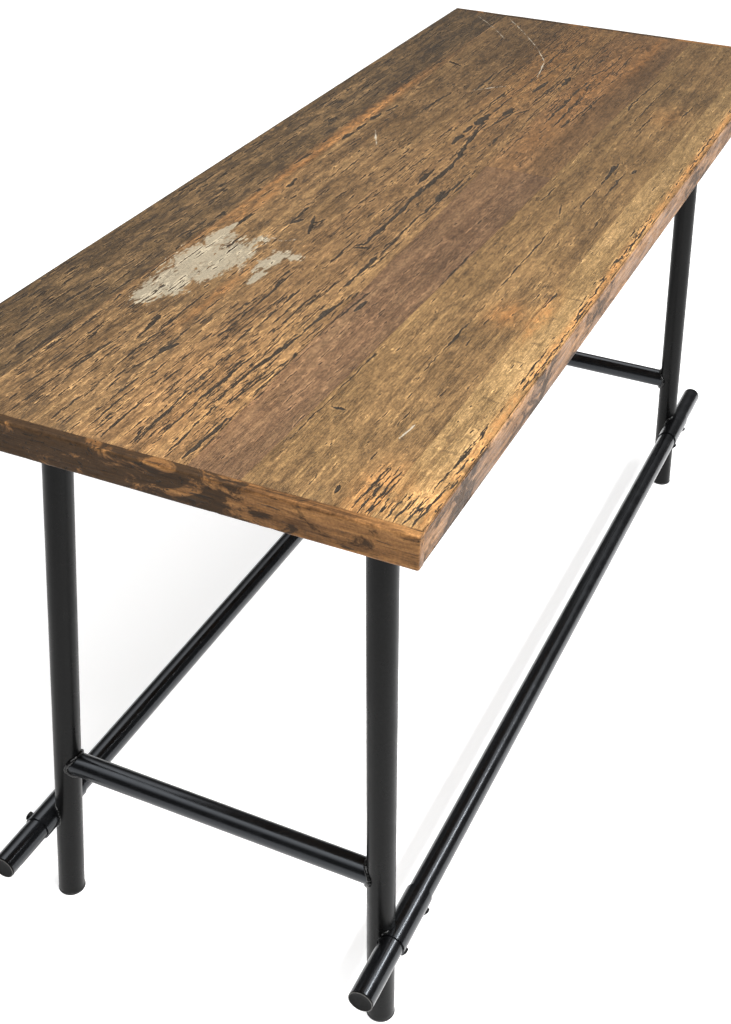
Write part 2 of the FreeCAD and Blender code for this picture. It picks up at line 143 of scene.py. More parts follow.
def loft(rings, looped=False):
    """Vertices and faces of a skin over rings of points, shaped (rings, points, 3)."""
    count, around = rings.shape[:2]
    index = np.arange(count * around).reshape(count, around)
    if looped:
        index = np.vstack([index, index[:1]])
    start = index[:-1]
    after = index[1:]
    quads = np.stack([start, np.roll(start, -1, 1), np.roll(after, -1, 1), after], -1)
    faces = quads.reshape(-1, 4).tolist()
    if not looped:
        faces.append(index[0][::-1].tolist())
        faces.append(index[-1].tolist())
    return rings.reshape(-1, 3), faces


def mesh_from(name, skins):
    """One mesh from several (vertices, faces) skins, in metres, normals outward."""
    vertices = []
    faces = []
    for points, skin in skins:
        base = len(vertices)
        vertices.extend(points.tolist())
        faces.extend([[base + corner for corner in face] for face in skin])
    mesh = bpy.data.meshes.new(name)
    mesh.from_pydata(vertices, [], faces)
    work = bmesh.new()
    work.from_mesh(mesh)
    bmesh.ops.recalc_face_normals(work, faces=work.faces)
    work.to_mesh(mesh)
    work.free()
    mesh.polygons.foreach_set("use_smooth", [True] * len(mesh.polygons))
    return mesh


def store(mesh, name, values):
    """Keep one number per vertex, which the mesh's material reads."""
    layer = mesh.attributes.new(name, "FLOAT", "POINT")
    layer.data.foreach_set("value", np.ascontiguousarray(values, dtype=np.float32).ravel())


def sharpen(mesh, degrees):
    """Split the shading where faces meet at more than an angle."""
    work = bmesh.new()
    work.from_mesh(mesh)
    limit = math.radians(degrees)
    for edge in work.edges:
        if len(edge.link_faces) == 2 and edge.calc_face_angle(0.0) > limit:
            edge.smooth = False
    work.to_mesh(mesh)
    work.free()


def frame_about(axis):
    """Two unit vectors square to an axis and to each other."""
    axis = Vector(axis).normalized()
    side = axis.orthogonal().normalized()
    return np.array(side), np.array(axis.cross(side))


def lathe(centre, axis, profile, segments=64):
    """Skin of a profile of (radius, distance along the axis) points turned round an axis."""
    side, up = frame_about(axis)
    along = np.array(Vector(axis).normalized())
    turn = turns(segments)
    circle = np.cos(turn)[:, None] * side + np.sin(turn)[:, None] * up
    rings = [np.array(centre) + along * far + circle * radius for radius, far in profile]
    return loft(np.array(rings))


# ------------------------------------------------------------------ materials


def paint(red, green, blue):
    """A colour picked in 0-255 display values, as the linear colour a shader takes."""
    linear = []
    for value in (red, green, blue):
        share = value / 255.0
        linear.append(share / 12.92 if share <= 0.04045 else ((share + 0.055) / 1.055) ** 2.4)
    return (*linear, 1.0)


class Shader:
    """Builds one material. Each method adds a node and gives its output socket."""

    def __init__(self, name, roughness=0.5, specular=0.5):
        self.material = bpy.data.materials.new(name)
        self.material.use_nodes = True
        self.tree = self.material.node_tree
        self.surface = self.tree.nodes["Principled BSDF"]
        self.surface.inputs["Roughness"].default_value = roughness
        self.surface.inputs["Specular IOR Level"].default_value = specular
        self.place = self.tree.nodes.new("ShaderNodeTexCoord").outputs["Object"]

    def feed(self, value, socket):
        if isinstance(value, bpy.types.NodeSocket):
            self.tree.links.new(value, socket)
        else:
            socket.default_value = value

    def add(self, kind, output, inputs, **settings):
        """A new node's output. Its inputs are numbers, colours or other outputs."""
        node = self.tree.nodes.new("ShaderNode" + kind)
        for name, value in settings.items():
            setattr(node, name, value)
        for name, value in inputs.items():
            self.feed(value, node.inputs[name])
        return node.outputs[output]

    def attribute(self, name):
        return self.add("Attribute", "Fac", {}, attribute_name=name)

    def noise(self, per_metre, detail=3.0, rough=0.55, warp=0.0, shift=0.0):
        place = self.add("Mapping", "Vector", {
            "Vector": self.place, "Scale": per_metre,
            "Location": (shift, shift * 0.7, shift * 1.3)})
        return self.add("TexNoise", "Fac", {"Vector": place, "Scale": 1.0, "Detail": detail,
                                            "Roughness": rough, "Distortion": warp})

    def math(self, kind, first, second=0.0, clamp=False):
        return self.add("Math", 0, {0: first, 1: second}, operation=kind, use_clamp=clamp)

    def product(self, first, second):
        return self.math("MULTIPLY", first, second)

    def plus(self, first, second, clamp=False):
        return self.math("ADD", first, second, clamp)

    def minus(self, first, second):
        return self.math("SUBTRACT", first, second)

    def step(self, value, low, high, start=0.0, end=1.0):
        return self.add("MapRange", "Result", {
            "Value": value, "From Min": low, "From Max": high, "To Min": start,
            "To Max": end}, interpolation_type="SMOOTHSTEP")

    def ramp(self, value, stops):
        node = self.tree.nodes.new("ShaderNodeValToRGB")
        self.feed(value, node.inputs["Fac"])
        for number, (place, colour) in enumerate(stops):
            if number > 1:
                node.color_ramp.elements.new(place)
            node.color_ramp.elements[number].position = place
            node.color_ramp.elements[number].color = colour
        return node.outputs["Color"]

    def mix(self, share, first, second):
        return self.add("Mix", 2, {"Factor": share, 6: first, 7: second}, data_type="RGBA")

    def over(self, colour, share, amount, other):
        """Another colour laid over the first by share, at most by amount."""
        return self.mix(self.product(share, amount), colour, other)

    def times(self, colour, value):
        """A colour made lighter or darker by a number."""
        if not isinstance(colour, bpy.types.NodeSocket):
            colour = colour[:3]
        return self.add("VectorMath", "Vector", {0: colour, "Scale": value},
                        operation="SCALE")

    def shade(self, colour, value, low, high, start, end):
        """A colour times start where value is low and times end where it is high."""
        return self.times(colour, self.step(value, low, high, start, end))

    def bump(self, height, depth, strength=1.0, below=None):
        inputs = {"Height": height, "Strength": strength, "Distance": depth}
        if below is not None:
            inputs["Normal"] = below
        return self.add("Bump", "Normal", inputs)

    def done(self, colour, roughness=None, normal=None):
        for name, value in (("Base Color", colour), ("Roughness", roughness),
                            ("Normal", normal)):
            if value is not None:
                self.feed(value, self.surface.inputs[name])
        return self.material


CRACK_COLOUR = paint(38, 31, 24)
DUST_COLOUR = paint(60, 52, 42)
STREAK_COLOUR = paint(50, 40, 30)
OLD_PAINT = paint(146, 136, 116)
SCUFF_COLOUR = paint(176, 166, 148)
ORANGE_WOOD = paint(172, 116, 62)


def plank_material(name, shades, seed, streaks, hair, blotches):
    """Old waxed plank: grain, mottle, specks, stains, and checks with a painted highlight on
    their edges.

    shades are the dark, middle and light colours of the grain; streaks, hair and
    blotches say how much of each fault the plank has, from 0 to 1.
    """
    shader = Shader(name, specular=0.2)
    bands = shader.noise((2.6, 52, 52), 4.0, 0.6, 0.6, seed)
    patches = shader.noise((8, 17, 17), 4.0, 0.62, 0.6, seed + 3.1)
    grain = shader.noise((10, 230, 230), 4.0, 0.65, 0.8, seed + 5.7)
    mottle = shader.noise((46, 105, 105), 5.0, 0.70, 0.8, seed + 6.6)
    fibres = shader.noise((70, 760, 760), 3.0, 0.65, 0.3, seed + 8.3)
    specks = shader.noise((260, 460, 460), 3.0, 0.65, 0.0, seed + 9.2)
    blend = shader.plus(shader.product(bands, 0.36), shader.product(grain, 0.30))
    blend = shader.plus(blend, shader.product(mottle, 0.34))
    colour = shader.ramp(blend, [(0.39, shades[0]), (0.50, shades[1]), (0.61, shades[2])])
    colour = shader.shade(colour, patches, 0.34, 0.66, 0.88 - 0.14 * blotches,
                          1.08 + 0.14 * blotches)
    colour = shader.shade(colour, fibres, 0.34, 0.66, 0.70, 1.24)
    colour = shader.shade(colour, specks, 0.36, 0.64, 0.74, 1.22)
    # soft dark stains, longer than they are wide
    stains = shader.noise((19, 85, 85), 4.0, 0.66, 0.9, seed + 12.7)
    stain = shader.step(stains, 0.61 - 0.13 * blotches, 0.70 - 0.10 * blotches)
    colour = shader.over(colour, stain, 0.35 + 0.35 * blotches, STREAK_COLOUR)
    # short dark streaks and pale flecks along the grain
    dashes = shader.noise((24, 240, 240), 3.0, 0.6, 0.4, seed + 11.9)
    streak = shader.step(dashes, 0.70 - 0.14 * streaks, 0.78 - 0.12 * streaks)
    colour = shader.over(colour, streak, 0.82, STREAK_COLOUR)
    fleck = shader.step(dashes, 0.36, 0.28)
    colour = shader.over(colour, fleck, 0.55, shader.times(colour, 1.45))
    # hair cracks: thin lines where a stretched noise crosses its middle value
    lines = shader.math("ABSOLUTE", shader.minus(grain, 0.5))
    where = shader.step(shader.noise((9, 30, 30), 3.0, 0.6, 0.0, seed + 14.3), 0.46, 0.62)
    thin = shader.product(shader.step(lines, 0.0, 0.022, 1.0, 0.0), where)
    colour = shader.over(colour, thin, hair, CRACK_COLOUR)
    # tone and warmth follow the mesh; the tone holds painted shade, at the far end and
    # underneath, as well as the wood's own tone
    colour = shader.times(colour, shader.attribute("tone_and_shade"))
    spread = shader.step(mottle, 0.40, 0.58, 0.25, 1.0)
    colour = shader.over(colour, shader.attribute("warm"), spread, ORANGE_WOOD)
    # old paint that has flaked along the grain
    flakes = shader.noise((70, 280, 280), 4.0, 0.68, 0.5, seed + 2.2)
    chips = shader.product(shader.minus(flakes, 0.5), 1.7)
    holes = shader.product(shader.minus(mottle, 0.5), 2.6)
    cover = shader.plus(shader.attribute("paint"), shader.plus(chips, holes))
    cover = shader.step(cover, 0.06, 0.26)
    old_paint = shader.shade(OLD_PAINT, specks, 0.3, 0.7, 0.80, 1.14)
    colour = shader.over(colour, cover, 0.88, old_paint)
    # saw marks and rings across the grain
    ragged = shader.product(shader.minus(specks, 0.5), 3.0)
    sawn = shader.step(shader.plus(shader.attribute("saw"), ragged), 0.8, 2.4)
    colour = shader.over(colour, sawn, 0.5, paint(58, 44, 30))
    # checks: a dark line, with a painted highlight along its broken edge
    rough_edge = shader.product(shader.minus(flakes, 0.5), 4.2)
    depth = shader.plus(shader.attribute("crack"), rough_edge)
    check_edge_highlight = shader.product(shader.step(depth, -3.0, -0.9), shader.step(mottle, 0.38, 0.54))
    colour = shader.over(colour, check_edge_highlight, 0.8, shader.times(colour, 1.65))
    open_check = shader.step(depth, -0.30, 0.25)
    inside = shader.mix(shader.step(specks, 0.45, 0.7), CRACK_COLOUR, DUST_COLOUR)
    colour = shader.mix(open_check, colour, inside)
    # pale scratches
    scuffed = shader.step(shader.plus(shader.attribute("scuff"), ragged), -0.4, 0.5)
    colour = shader.over(colour, scuffed, 0.8, SCUFF_COLOUR)
    # wax is thin in the checks and thick on the smooth ground
    sheen = shader.step(patches, 0.3, 0.7, 0.46, 0.62)
    roughness = shader.plus(sheen, shader.product(open_check, 0.3), True)
    fine = shader.bump(fibres, 0.0006, 0.55)
    cut = shader.plus(open_check, shader.plus(thin, streak))
    relief = shader.minus(shader.plus(grain, mottle), cut)
    normal = shader.bump(relief, 0.0010, 0.6, fine)
    return shader.done(colour, roughness, normal)


def side_material(name, shades, stain, seed, along=(1, 0)):
    """Edge of the top: brown wood with black stains, pits, checks and a worn top edge."""
    run, cross = along

    def stretch(far, near, up):
        return (far * run + near * cross, near * run + far * cross, up)

    shader = Shader(name, specular=0.12)
    grain = shader.noise(stretch(6, 90, 90), 5.0, 0.64, 0.9, seed)
    fibres = shader.noise(stretch(60, 800, 800), 3.0, 0.6, 0.2, seed + 1.5)
    clouds = shader.noise(stretch(14, 22, 30), 5.0, 0.68, 0.9, seed + 2.5)
    specks = shader.noise((330, 330, 330), 3.0, 0.65, 0.0, seed + 3.5)
    colour = shader.ramp(grain, [(0.34, shades[0]), (0.50, shades[1]), (0.66, shades[2])])
    colour = shader.shade(colour, fibres, 0.3, 0.7, 0.80, 1.14)
    colour = shader.shade(colour, specks, 0.34, 0.66, 0.84, 1.14)
    reach = shader.plus(clouds, shader.product(shader.attribute("stain"), 0.2))
    dark = shader.step(reach, 0.58, 0.68)
    colour = shader.over(colour, dark, 0.86, stain)
    dashes = shader.noise(stretch(22, 240, 240), 3.0, 0.6, 0.3, seed + 7.0)
    check = shader.step(dashes, 0.640, 0.685)
    colour = shader.over(colour, check, 0.8, CRACK_COLOUR)
    pits = shader.noise((120, 120, 160), 3.0, 0.6, 0.4, seed + 6.0)
    pit = shader.product(shader.step(pits, 0.62, 0.67), shader.attribute("stain"))
    colour = shader.over(colour, pit, 0.85, CRACK_COLOUR)
    broken = shader.noise((110, 110, 160), 4.0, 0.65, 0.0, seed + 9.0)
    worn = shader.product(shader.attribute("edge"), shader.step(broken, 0.40, 0.62))
    colour = shader.over(colour, worn, 0.55, shader.times(colour, 2.1))
    roughness = shader.step(clouds, 0.35, 0.65, 0.42, 0.62)
    relief = shader.minus(grain, shader.plus(pit, check))
    normal = shader.bump(relief, 0.0012, 0.6, shader.bump(fibres, 0.0005, 0.5))
    return shader.done(colour, roughness, normal)


# painted light: a blue tint of the rails' reflections, for the bluish lamp light
RAIL_PAINTED_LAMP_BLUE = (0.86, 0.92, 1.0, 1.0)


def coated_steel(name, shade, roughness, specular=0.4, waviness=0.12, dots=0.0):
    """Near-black coated steel with faint waves and fine scratches.

    With dots it has small brown chips, and its gloss is tinted blue: painted light, the bluish
    lamp colour put into its reflections.
    """
    shader = Shader(name, specular=specular)
    waves = shader.noise((26, 26, 26), 3.0, 0.5, 0.2, 1.0)
    mottle = shader.noise((240, 240, 240), 3.0, 0.6, 0.0, 2.0)
    scratch = shader.noise((900, 60, 60), 2.0, 0.5, 0.4, 3.0)
    marks = shader.math("ABSOLUTE", shader.minus(scratch, 0.5))
    rare = shader.step(shader.noise((18, 18, 18), 2.0, 0.5, 0.0, 5.0), 0.62, 0.74)
    line = shader.product(shader.step(marks, 0.0, 0.008, 1.0, 0.0), rare)
    colour = shader.shade(shade, mottle, 0.3, 0.7, 0.75, 1.3)
    colour = shader.over(colour, line, 0.22, paint(110, 108, 104))
    if dots > 0:
        chips = shader.noise((110, 110, 110), 2.0, 0.5, 0.0, 7.0)
        spot = shader.step(chips, 0.83 - dots, 0.84 - dots)
        colour = shader.mix(spot, colour, paint(168, 138, 92))
        # painted light: the gloss is tinted blue for the bluish lamp light
        shader.surface.inputs["Specular Tint"].default_value = RAIL_PAINTED_LAMP_BLUE
    rough = shader.step(waves, 0.3, 0.7, roughness - 0.04, roughness + 0.05)
    fine = shader.bump(mottle, 0.00002, 0.2)
    return shader.done(colour, rough, shader.bump(waves, 0.0005, waviness, fine))


def bare_metal(name, shade, roughness):
    """Plated steel with a fine turned grain."""
    shader = Shader(name, specular=0.5)
    shader.surface.inputs["Metallic"].default_value = 1.0
    turned = shader.noise((300, 300, 1400), 3.0, 0.6, 0.0, 4.0)
    cloudy = shader.noise((70, 70, 70), 3.0, 0.6, 0.3, 6.0)
    colour = shader.shade(shade, cloudy, 0.3, 0.7, 0.72, 1.1)
    rough = shader.step(turned, 0.3, 0.7, roughness - 0.06, roughness + 0.12)
    return shader.done(colour, rough, shader.bump(turned, 0.0001, 0.6))


def glide_plastic():
    """Black moulded glide with a fine grain and grey scuffs."""
    shader = Shader("foot_plastic", specular=0.4)
    grain = shader.noise((1500, 1500, 1500), 2.0, 0.6, 0.0, 2.0)
    scuffs = shader.noise((90, 90, 40), 4.0, 0.65, 0.6, 3.0)
    colour = shader.mix(shader.step(scuffs, 0.56, 0.72, 0.0, 0.5), paint(30, 30, 31),
                        paint(92, 90, 86))
    rough = shader.step(scuffs, 0.3, 0.7, 0.5, 0.72)
    return shader.done(colour, rough, shader.bump(grain, 0.0001, 0.5))


def plain_wood():
    """Beech of the hidden dowels."""
    shader = Shader("dowel_beech", specular=0.3)
    flecks = shader.noise((300, 40, 300), 4.0, 0.6, 0.3, 1.0)
    colour = shader.ramp(flecks, [(0.3, paint(168, 128, 84)), (0.7, paint(216, 180, 132))])
    return shader.done(colour, shader.step(flecks, 0.3, 0.7, 0.55, 0.7),
                       shader.bump(flecks, 0.0003, 0.5))


# ------------------------------------------------------------------ marks on the top

# Checks that are large enough to be placed one by one: from (x, y) to (x, y) and
# half their width, in millimetres, read in a flattened view of the top.
READ_CHECKS = [
    (-793, 127, -537, 132, 1.8), (-930, 76, -807, 78, 1.2), (-837, 88, -790, 86, 2.6),
    (-793, 107, -673, 94, 1.6), (-722, 97, -690, 88, 3.2), (-930, 51, -807, 52, 1.5),
    (-660, 52, -407, 55, 1.5), (-655, 56, -620, 48, 2.4), (-623, 21, -453, 21, 1.6),
    (-413, 23, -300, 22, 1.3), (-930, 9, -747, 17, 1.7), (-817, -7, -660, -13, 2.0),
    (-747, -27, -600, -41, 3.4), (-593, -39, -480, -47, 3.2), (-930, -37, -800, -30, 1.6),
    (-930, -58, -825, -60, 3.4), (-800, -43, -620, -62, 1.3), (-413, -31, -333, -27, 3.2),
    (-333, -30, -173, -27, 1.8), (-173, -29, 0, -33, 3.0), (-105, -26, -60, -24, 5.2),
    (-310, 6, -215, 4, 4.2), (-318, 16, -300, 0, 2.4), (-225, 4, -100, 9, 3.2),
    (-130, 10, 50, 6, 5.2), (40, 6, 230, 32, 4.2), (-60, 26, 20, 28, 4.6),
    (140, 45, 196, 46, 5.4), (203, 48, 247, 47, 5.6), (248, 44, 318, 43, 8.0),
    (293, 60, 460, 60, 1.6), (378, 61, 460, 58, 2.2), (318, 39, 430, 40, 2.0),
    (233, 21, 373, 2, 2.2), (318, 16, 368, 14, 5.2), (333, 2, 375, -16, 3.0),
    (467, 14, 547, 7, 5.0), (533, -25, 594, -22, 5.2), (400, -7, 533, -13, 1.5),
    (625, -13, 690, -6, 2.6), (327, -61, 467, -64, 2.4), (300, -82, 467, -79, 2.2),
    (493, -61, 593, -61, 1.5), (613, -56, 668, -68, 3.0), (667, -43, 827, -45, 1.4),
    (320, -99, 533, -113, 1.6), (633, -95, 830, -90, 1.5), (400, 113, 573, 119, 2.0),
    (500, 108, 653, 113, 1.6), (267, 160, 400, 150, 2.6), (-293, 136, -193, 141, 2.0),
    (-287, 134, -262, 126, 4.0), (-313, 97, -242, 116, 3.4), (-165, 206, -118, 210, 4.4),
    (-330, 207, -280, 206, 3.2), (70, 224, 118, 221, 4.6), (128, 220, 170, 222, 4.2),
    (186, 222, 232, 219, 4.8), (240, 214, 285, 210, 4.4), (553, 186, 575, 226, 5.0),
    (-660, -223, -395, -225, 1.0), (-380, -225, -100, -226, 1.2), (-100, -226, -20, -207, 1.1),
    (-560, -224, -470, -225, 1.6), (367, -203, 653, -210, 1.2), (347, -223, 440, -228, 1.5),
    (453, -277, 527, -280, 1.8), (73, -241, 187, -240, 2.6), (27, -261, 160, -261, 1.4),
    (-513, -73, -470, -76, 3.4), (-565, -62, -450, -68, 1.4), (-400, -147, -250, -150, 1.5),
    (-850, -146, -560, -149, 1.0), (467, -173, 667, -184, 1.6), (-610, -351, -330, -353, 1.5),
    (-160, -352, -20, -353, 1.3), (-390, -300, -330, -301, 2.4),
]
# The view was short along x, and its near part lay 3 mm too far to the left, or 2 mm
# beside the right edge.
VIEW_STRETCH = 1.0105
VIEW_BEND = -300.0
VIEW_EDGE = -200.0
# Checks that were added later, straight on the top.
ADDED_CHECKS = [
    (-757, -157, -756, -180, 3.2), (-685, 143, -640, 149, 3.4), (-275, 108, -262, 96, 2.2),
    (-635, 228, -610, 231, 2.6), (-560, 231, -460, 232, 1.6), (-329, 16, -318, -10, 2.6),
    (-452, -33, -410, -33, 2.4), (-925, -244, -905, -242, 2.6), (-34, -176, 38, -178, 2.0),
    (-34, -238, 60, -241, 1.5), (147, -237, 174, -235, 3.4), (148, -273, 172, -272, 3.2),
    (305, -97, 363, -99, 2.2), (363, -111, 530, -110, 1.5), (457, -177, 497, -177, 2.6),
    (100, -48, 300, -50, 1.0), (-948, -272, -868, -276, 1.2), (-948, -281, -855, -284, 1.4),
    (-948, -289, -850, -292, 1.4), (-948, -294, -852, -297, 1.6), (-948, -303, -915, -304, 1.3),
    (-948, -313, -905, -315, 1.1), (-948, -322, -900, -326, 1.3), (-948, -334, -880, -338, 1.4),
    (-948, -344, -860, -350, 1.6), (-930, -338, -700, -343, 1.0), (-640, -346, -480, -344, 1.1),
    (-430, -350, -250, -351, 1.0), (250, -351, 420, -349, 1.2), (-200, -349, -60, -351, 0.9),
    (500, -350, 760, -349, 1.1), (-815, 240, -706, 241, 1.8), (-670, 283, -605, 281, 2.6),
    (-416, 253, -330, 254, 2.0), (-700, 300, -610, 298, 2.0),
]


def settled(x, y):
    """Where a place read in the flattened view lies on the top, in whole millimetres."""
    shift = 0 if x >= VIEW_BEND else 3 if y > VIEW_EDGE else 2
    return round(x * VIEW_STRETCH), round(y - shift)


LARGE_CHECKS = [(*settled(x0, y0), *settled(x1, y1), half)
                for x0, y0, x1, y1, half in READ_CHECKS] + ADDED_CHECKS

# Where smaller checks are scattered: (x from, x to, y from, y to, how many,
# shortest, longest, thinnest and thickest half width), in millimetres.
SCATTERED_CHECKS = [
    (-945, -450, -72, 78, 190, 12, 70, 0.5, 1.5),
    (-945, -560, -72, 78, 80, 60, 190, 0.6, 1.2),
    (-945, -540, 84, 234, 170, 8, 60, 0.6, 1.8),
    (-945, -640, 84, 234, 40, 50, 150, 0.6, 1.3),
    (-930, 940, 238, 354, 420, 10, 70, 0.7, 2.6),
    (-520, 940, 90, 230, 280, 8, 46, 0.6, 2.2),
    (-500, 940, 84, 230, 60, 50, 150, 0.5, 1.1),
    (-430, 300, -44, 78, 130, 12, 70, 0.5, 1.6),
    (-430, 300, -44, 78, 70, 60, 200, 0.5, 1.1),
    (300, 900, -110, 90, 120, 14, 80, 0.5, 1.6),
    (300, 800, -110, 90, 90, 80, 240, 0.6, 1.3),
    (80, 300, -110, -40, 30, 10, 60, 0.5, 1.0),
    (-940, 40, -140, -75, 90, 8, 60, 0.5, 0.9),
    (-940, 900, -292, -150, 200, 5, 50, 0.5, 1.2),
    (-948, -880, -298, -262, 16, 14, 60, 0.6, 1.0),
    (-948, -900, -356, -300, 18, 10, 45, 0.6, 1.1),
    (-840, 900, -340, -303, 60, 4, 30, 0.5, 1.0),
    (-930, 900, -357, -340, 90, 10, 70, 0.5, 1.5),
    (-940, 940, -340, 356, 500, 2, 7, 0.6, 1.5),
]

# Pale scratches, as runs of points in millimetres.
SCRATCHES = [
    [(935, 228), (833, 153), (747, 97), (667, 55), (567, 36)],
    [(925, 300), (873, 253), (840, 224), (780, 182)],
    [(80, 160), (147, 193)],
    [(-345, 150), (-356, 118), (-340, 100)],
    [(-790, -262), (-752, -265)],
    [(433, 118), (470, 86), (486, 70)],
]

# Soft changes of tone: middle x, y, reach along x and y, in millimetres, and how much
# lighter or darker the wood is there.
TONES = [
    (-820, 20, 200, 90, 0.16), (-500, 130, 230, 60, 0.06), (-820, -220, 220, 90, 0.04),
    (-420, -30, 160, 60, -0.05), (60, 140, 320, 60, -0.04), (300, 300, 230, 60, 0.30),
    (720, 70, 240, 110, -0.46), (820, 200, 260, 60, -0.10), (-660, 300, 170, 60, -0.10),
    (470, -150, 330, 26, -0.10), (-400, 320, 200, 40, -0.10), (330, -142, 300, 22, -0.16),
    (-120, -260, 260, 40, -0.08), (-170, -185, 240, 26, -0.10), (560, -260, 40, 60, -0.22),
    (600, -265, 16, 55, -0.30), (-560, 215, 60, 22, -0.10), (-880, 300, 120, 50, 0.10),
    (-30, 215, 160, 26, 0.14), (-230, 190, 110, 30, 0.06), (250, 232, 200, 9, 0.16),
    (760, -150, 200, 22, -0.10), (-300, -215, 70, 26, 0.12), (230, -330, 160, 30, -0.12),
    (840, -330, 160, 40, -0.24), (-350, -250, 120, 30, 0.05), (450, 300, 120, 40, -0.08),
    (-900, 90, 110, 110, 0.16), (220, -330, 220, 30, -0.08), (640, -100, 160, 50, -0.10),
]
# The same for warm, freshly worn spots.
WARM_SPOTS = [
    (-432, -262, 30, 20, 0.40), (-420, -308, 60, 9, 0.55), (-905, -280, 50, 20, 0.45),
    (-160, 232, 260, 5, 0.35), (200, 238, 240, 8, 0.50), (-250, 215, 90, 7, 0.35),
    (-905, -330, 50, 26, 0.30), (-560, 112, 90, 8, 0.30), (800, -118, 150, 12, 0.22),
    (450, -250, 40, 22, 0.16), (-820, -20, 180, 60, 0.12), (470, -80, 330, 26, 0.18),
    (620, 30, 320, 50, 0.16), (-700, -352, 240, 6, 0.5), (-200, -353, 260, 5, 0.5),
    (350, -353, 260, 5, 0.5), (800, -350, 160, 7, 0.4), (-500, 210, 60, 7, 0.3),
]
# Places of the black stains on the long sides.
SIDE_STAINS = [
    (-820, -360, 90, 60, 1.0), (-560, -360, 60, 60, 0.8), (-300, -360, 90, 60, 0.5),
    (250, -360, 160, 60, 0.5), (720, -360, 200, 60, 0.6), (-500, 360, 200, 60, 0.8),
    (400, 360, 300, 60, 0.6),
]
# Patches that make up the flake of old paint.
PAINT_PATCHES = [
    (-588, 198, 48, 20), (-530, 190, 66, 34), (-462, 196, 84, 36), (-440, 160, 66, 38),
    (-392, 205, 46, 18), (-425, 98, 44, 14), (-482, 90, 26, 9), (-398, 78, 12, 18),
    (-350, 208, 30, 8), (-365, 148, 12, 14), (-500, 160, 44, 20), (-560, 176, 30, 12),
]


def score(field, x, y, stroke, seed, tremble=1.0):
    """Raise a field to half a stroke's width minus the distance from its middle line."""
    x0, y0, x1, y1, half = stroke
    low = np.searchsorted(x[:, 0], min(x0, x1) - half - 8)
    high = np.searchsorted(x[:, 0], max(x0, x1) + half + 8)
    if high <= low:
        return
    px = x[low:high]
    py = y[low:high]
    length = math.hypot(x1 - x0, y1 - y0)
    ax = (x1 - x0) / length
    ay = (y1 - y0) / length
    along = (px - x0) * ax + (py - y0) * ay
    off = (py - y0) * ax - (px - x0) * ay
    wobble = noise(along / 16.0, along * 0 + seed, 11) + 0.5 * noise(along / 5.0, along * 0, seed)
    share = np.clip(along / length, 0.0, 1.0)
    taper = np.sqrt(np.clip(4.0 * share * (1.0 - share), 0.0, 1.0))
    swell = 0.72 + 0.42 * noise(along / 13.0, along * 0 + 3.7, seed + 5)
    beyond = np.maximum(0.0, np.maximum(-along, along - length))
    value = half * taper * swell - np.abs(off + wobble * tremble) - beyond
    np.maximum(field[low:high], value, out=field[low:high])


CHECK_WIDTH = 1.25        # of the width that was read


def crack_field(x, y):
    """How deep inside a check each point is, in millimetres; below 0 outside."""
    field = np.full(x.shape, -4.0)
    for number, stroke in enumerate(LARGE_CHECKS):
        x0, y0, x1, y1, half = stroke
        score(field, x, y, (x0, y0, x1, y1, CHECK_WIDTH * half), number + 1, 1.3)
    for number, region in enumerate(SCATTERED_CHECKS):
        x_low, x_high, y_low, y_high, count, short, long, thin, thick = region
        dice = np.random.RandomState(40 + number)
        for _ in range(count):
            x0, y0 = dice.uniform(x_low, x_high), dice.uniform(y_low, y_high)
            length = short * (long / short) ** dice.uniform(0, 1)
            half = dice.uniform(thin, thick) * min(1.0, 0.55 + length / 60.0)
            slope = dice.normal(0, 0.03)
            seed = dice.randint(1, 500)
            if y.min() - 10 < y0 < y.max() + 10:
                stroke = (x0, y0, x0 + length, y0 + slope * length, half)
                score(field, x, y, stroke, seed, 0.8)
    return field


def spot_field(x, y, spots):
    """Sum of soft round-ended spots."""
    total = np.zeros(x.shape)
    for cx, cy, rx, ry, amount in spots:
        far = ((x - cx) / rx) ** 2 + ((y - cy) / ry) ** 2
        total += amount * np.exp(-0.7 * far)
    return total


def paint_field(x, y):
    """Above 0 where the old paint may lie."""
    field = np.full(x.shape, -2.0)
    for cx, cy, rx, ry in PAINT_PATCHES:
        far = np.sqrt(((x - cx) / rx) ** 2 + ((y - cy) / ry) ** 2)
        np.maximum(field, 1.0 - far, out=field)
    ragged = 0.30 * layered(x / 26.0, y / 7.0, 77)
    return np.clip(field + ragged, -1.5, 1.0)


def scratch_field(x, y):
    """Above 0 on the pale scratches."""
    field = np.full(x.shape, -4.0)
    for number, points in enumerate(SCRATCHES):
        for (x0, y0), (x1, y1) in zip(points, points[1:]):
            ax, ay = (x1 - x0) * 0.06, (y1 - y0) * 0.06
            stroke = (x0 - ax, y0 - ay, x1 + ax, y1 + ay, 1.7)
            score(field, x, y, stroke, number + 60, 0.7)
    return field


def saw_field(x, y):
    """Saw marks across the narrow light plank, its two knots and one dark ring."""
    field = np.full(x.shape, -4.0)
    dice = np.random.RandomState(5)
    place = -915.0
    while place < 930:
        low = -358 + dice.uniform(0, 16)
        high = -300 - dice.uniform(0, 14)
        half = dice.uniform(2.9, 4.1)
        lean = dice.normal(0, 4)
        score(field, x, y, (place, high, place + lean, low, half), dice.randint(1, 99), 0.7)
        place += dice.uniform(24, 78)
    for cx, cy, radius in [(-243, -346, 10), (387, -350, 15), (-857, -151, 9)]:
        far = np.sqrt((x - cx) ** 2 + ((y - cy) * 1.25) ** 2)
        ring = 2.4 - np.abs(far - radius + 1.2 * noise(x / 4.0, y / 4.0, 9))
        np.maximum(field, np.where(far < radius + 4, ring, -4.0), out=field)
    return field


# ------------------------------------------------------------------ the top

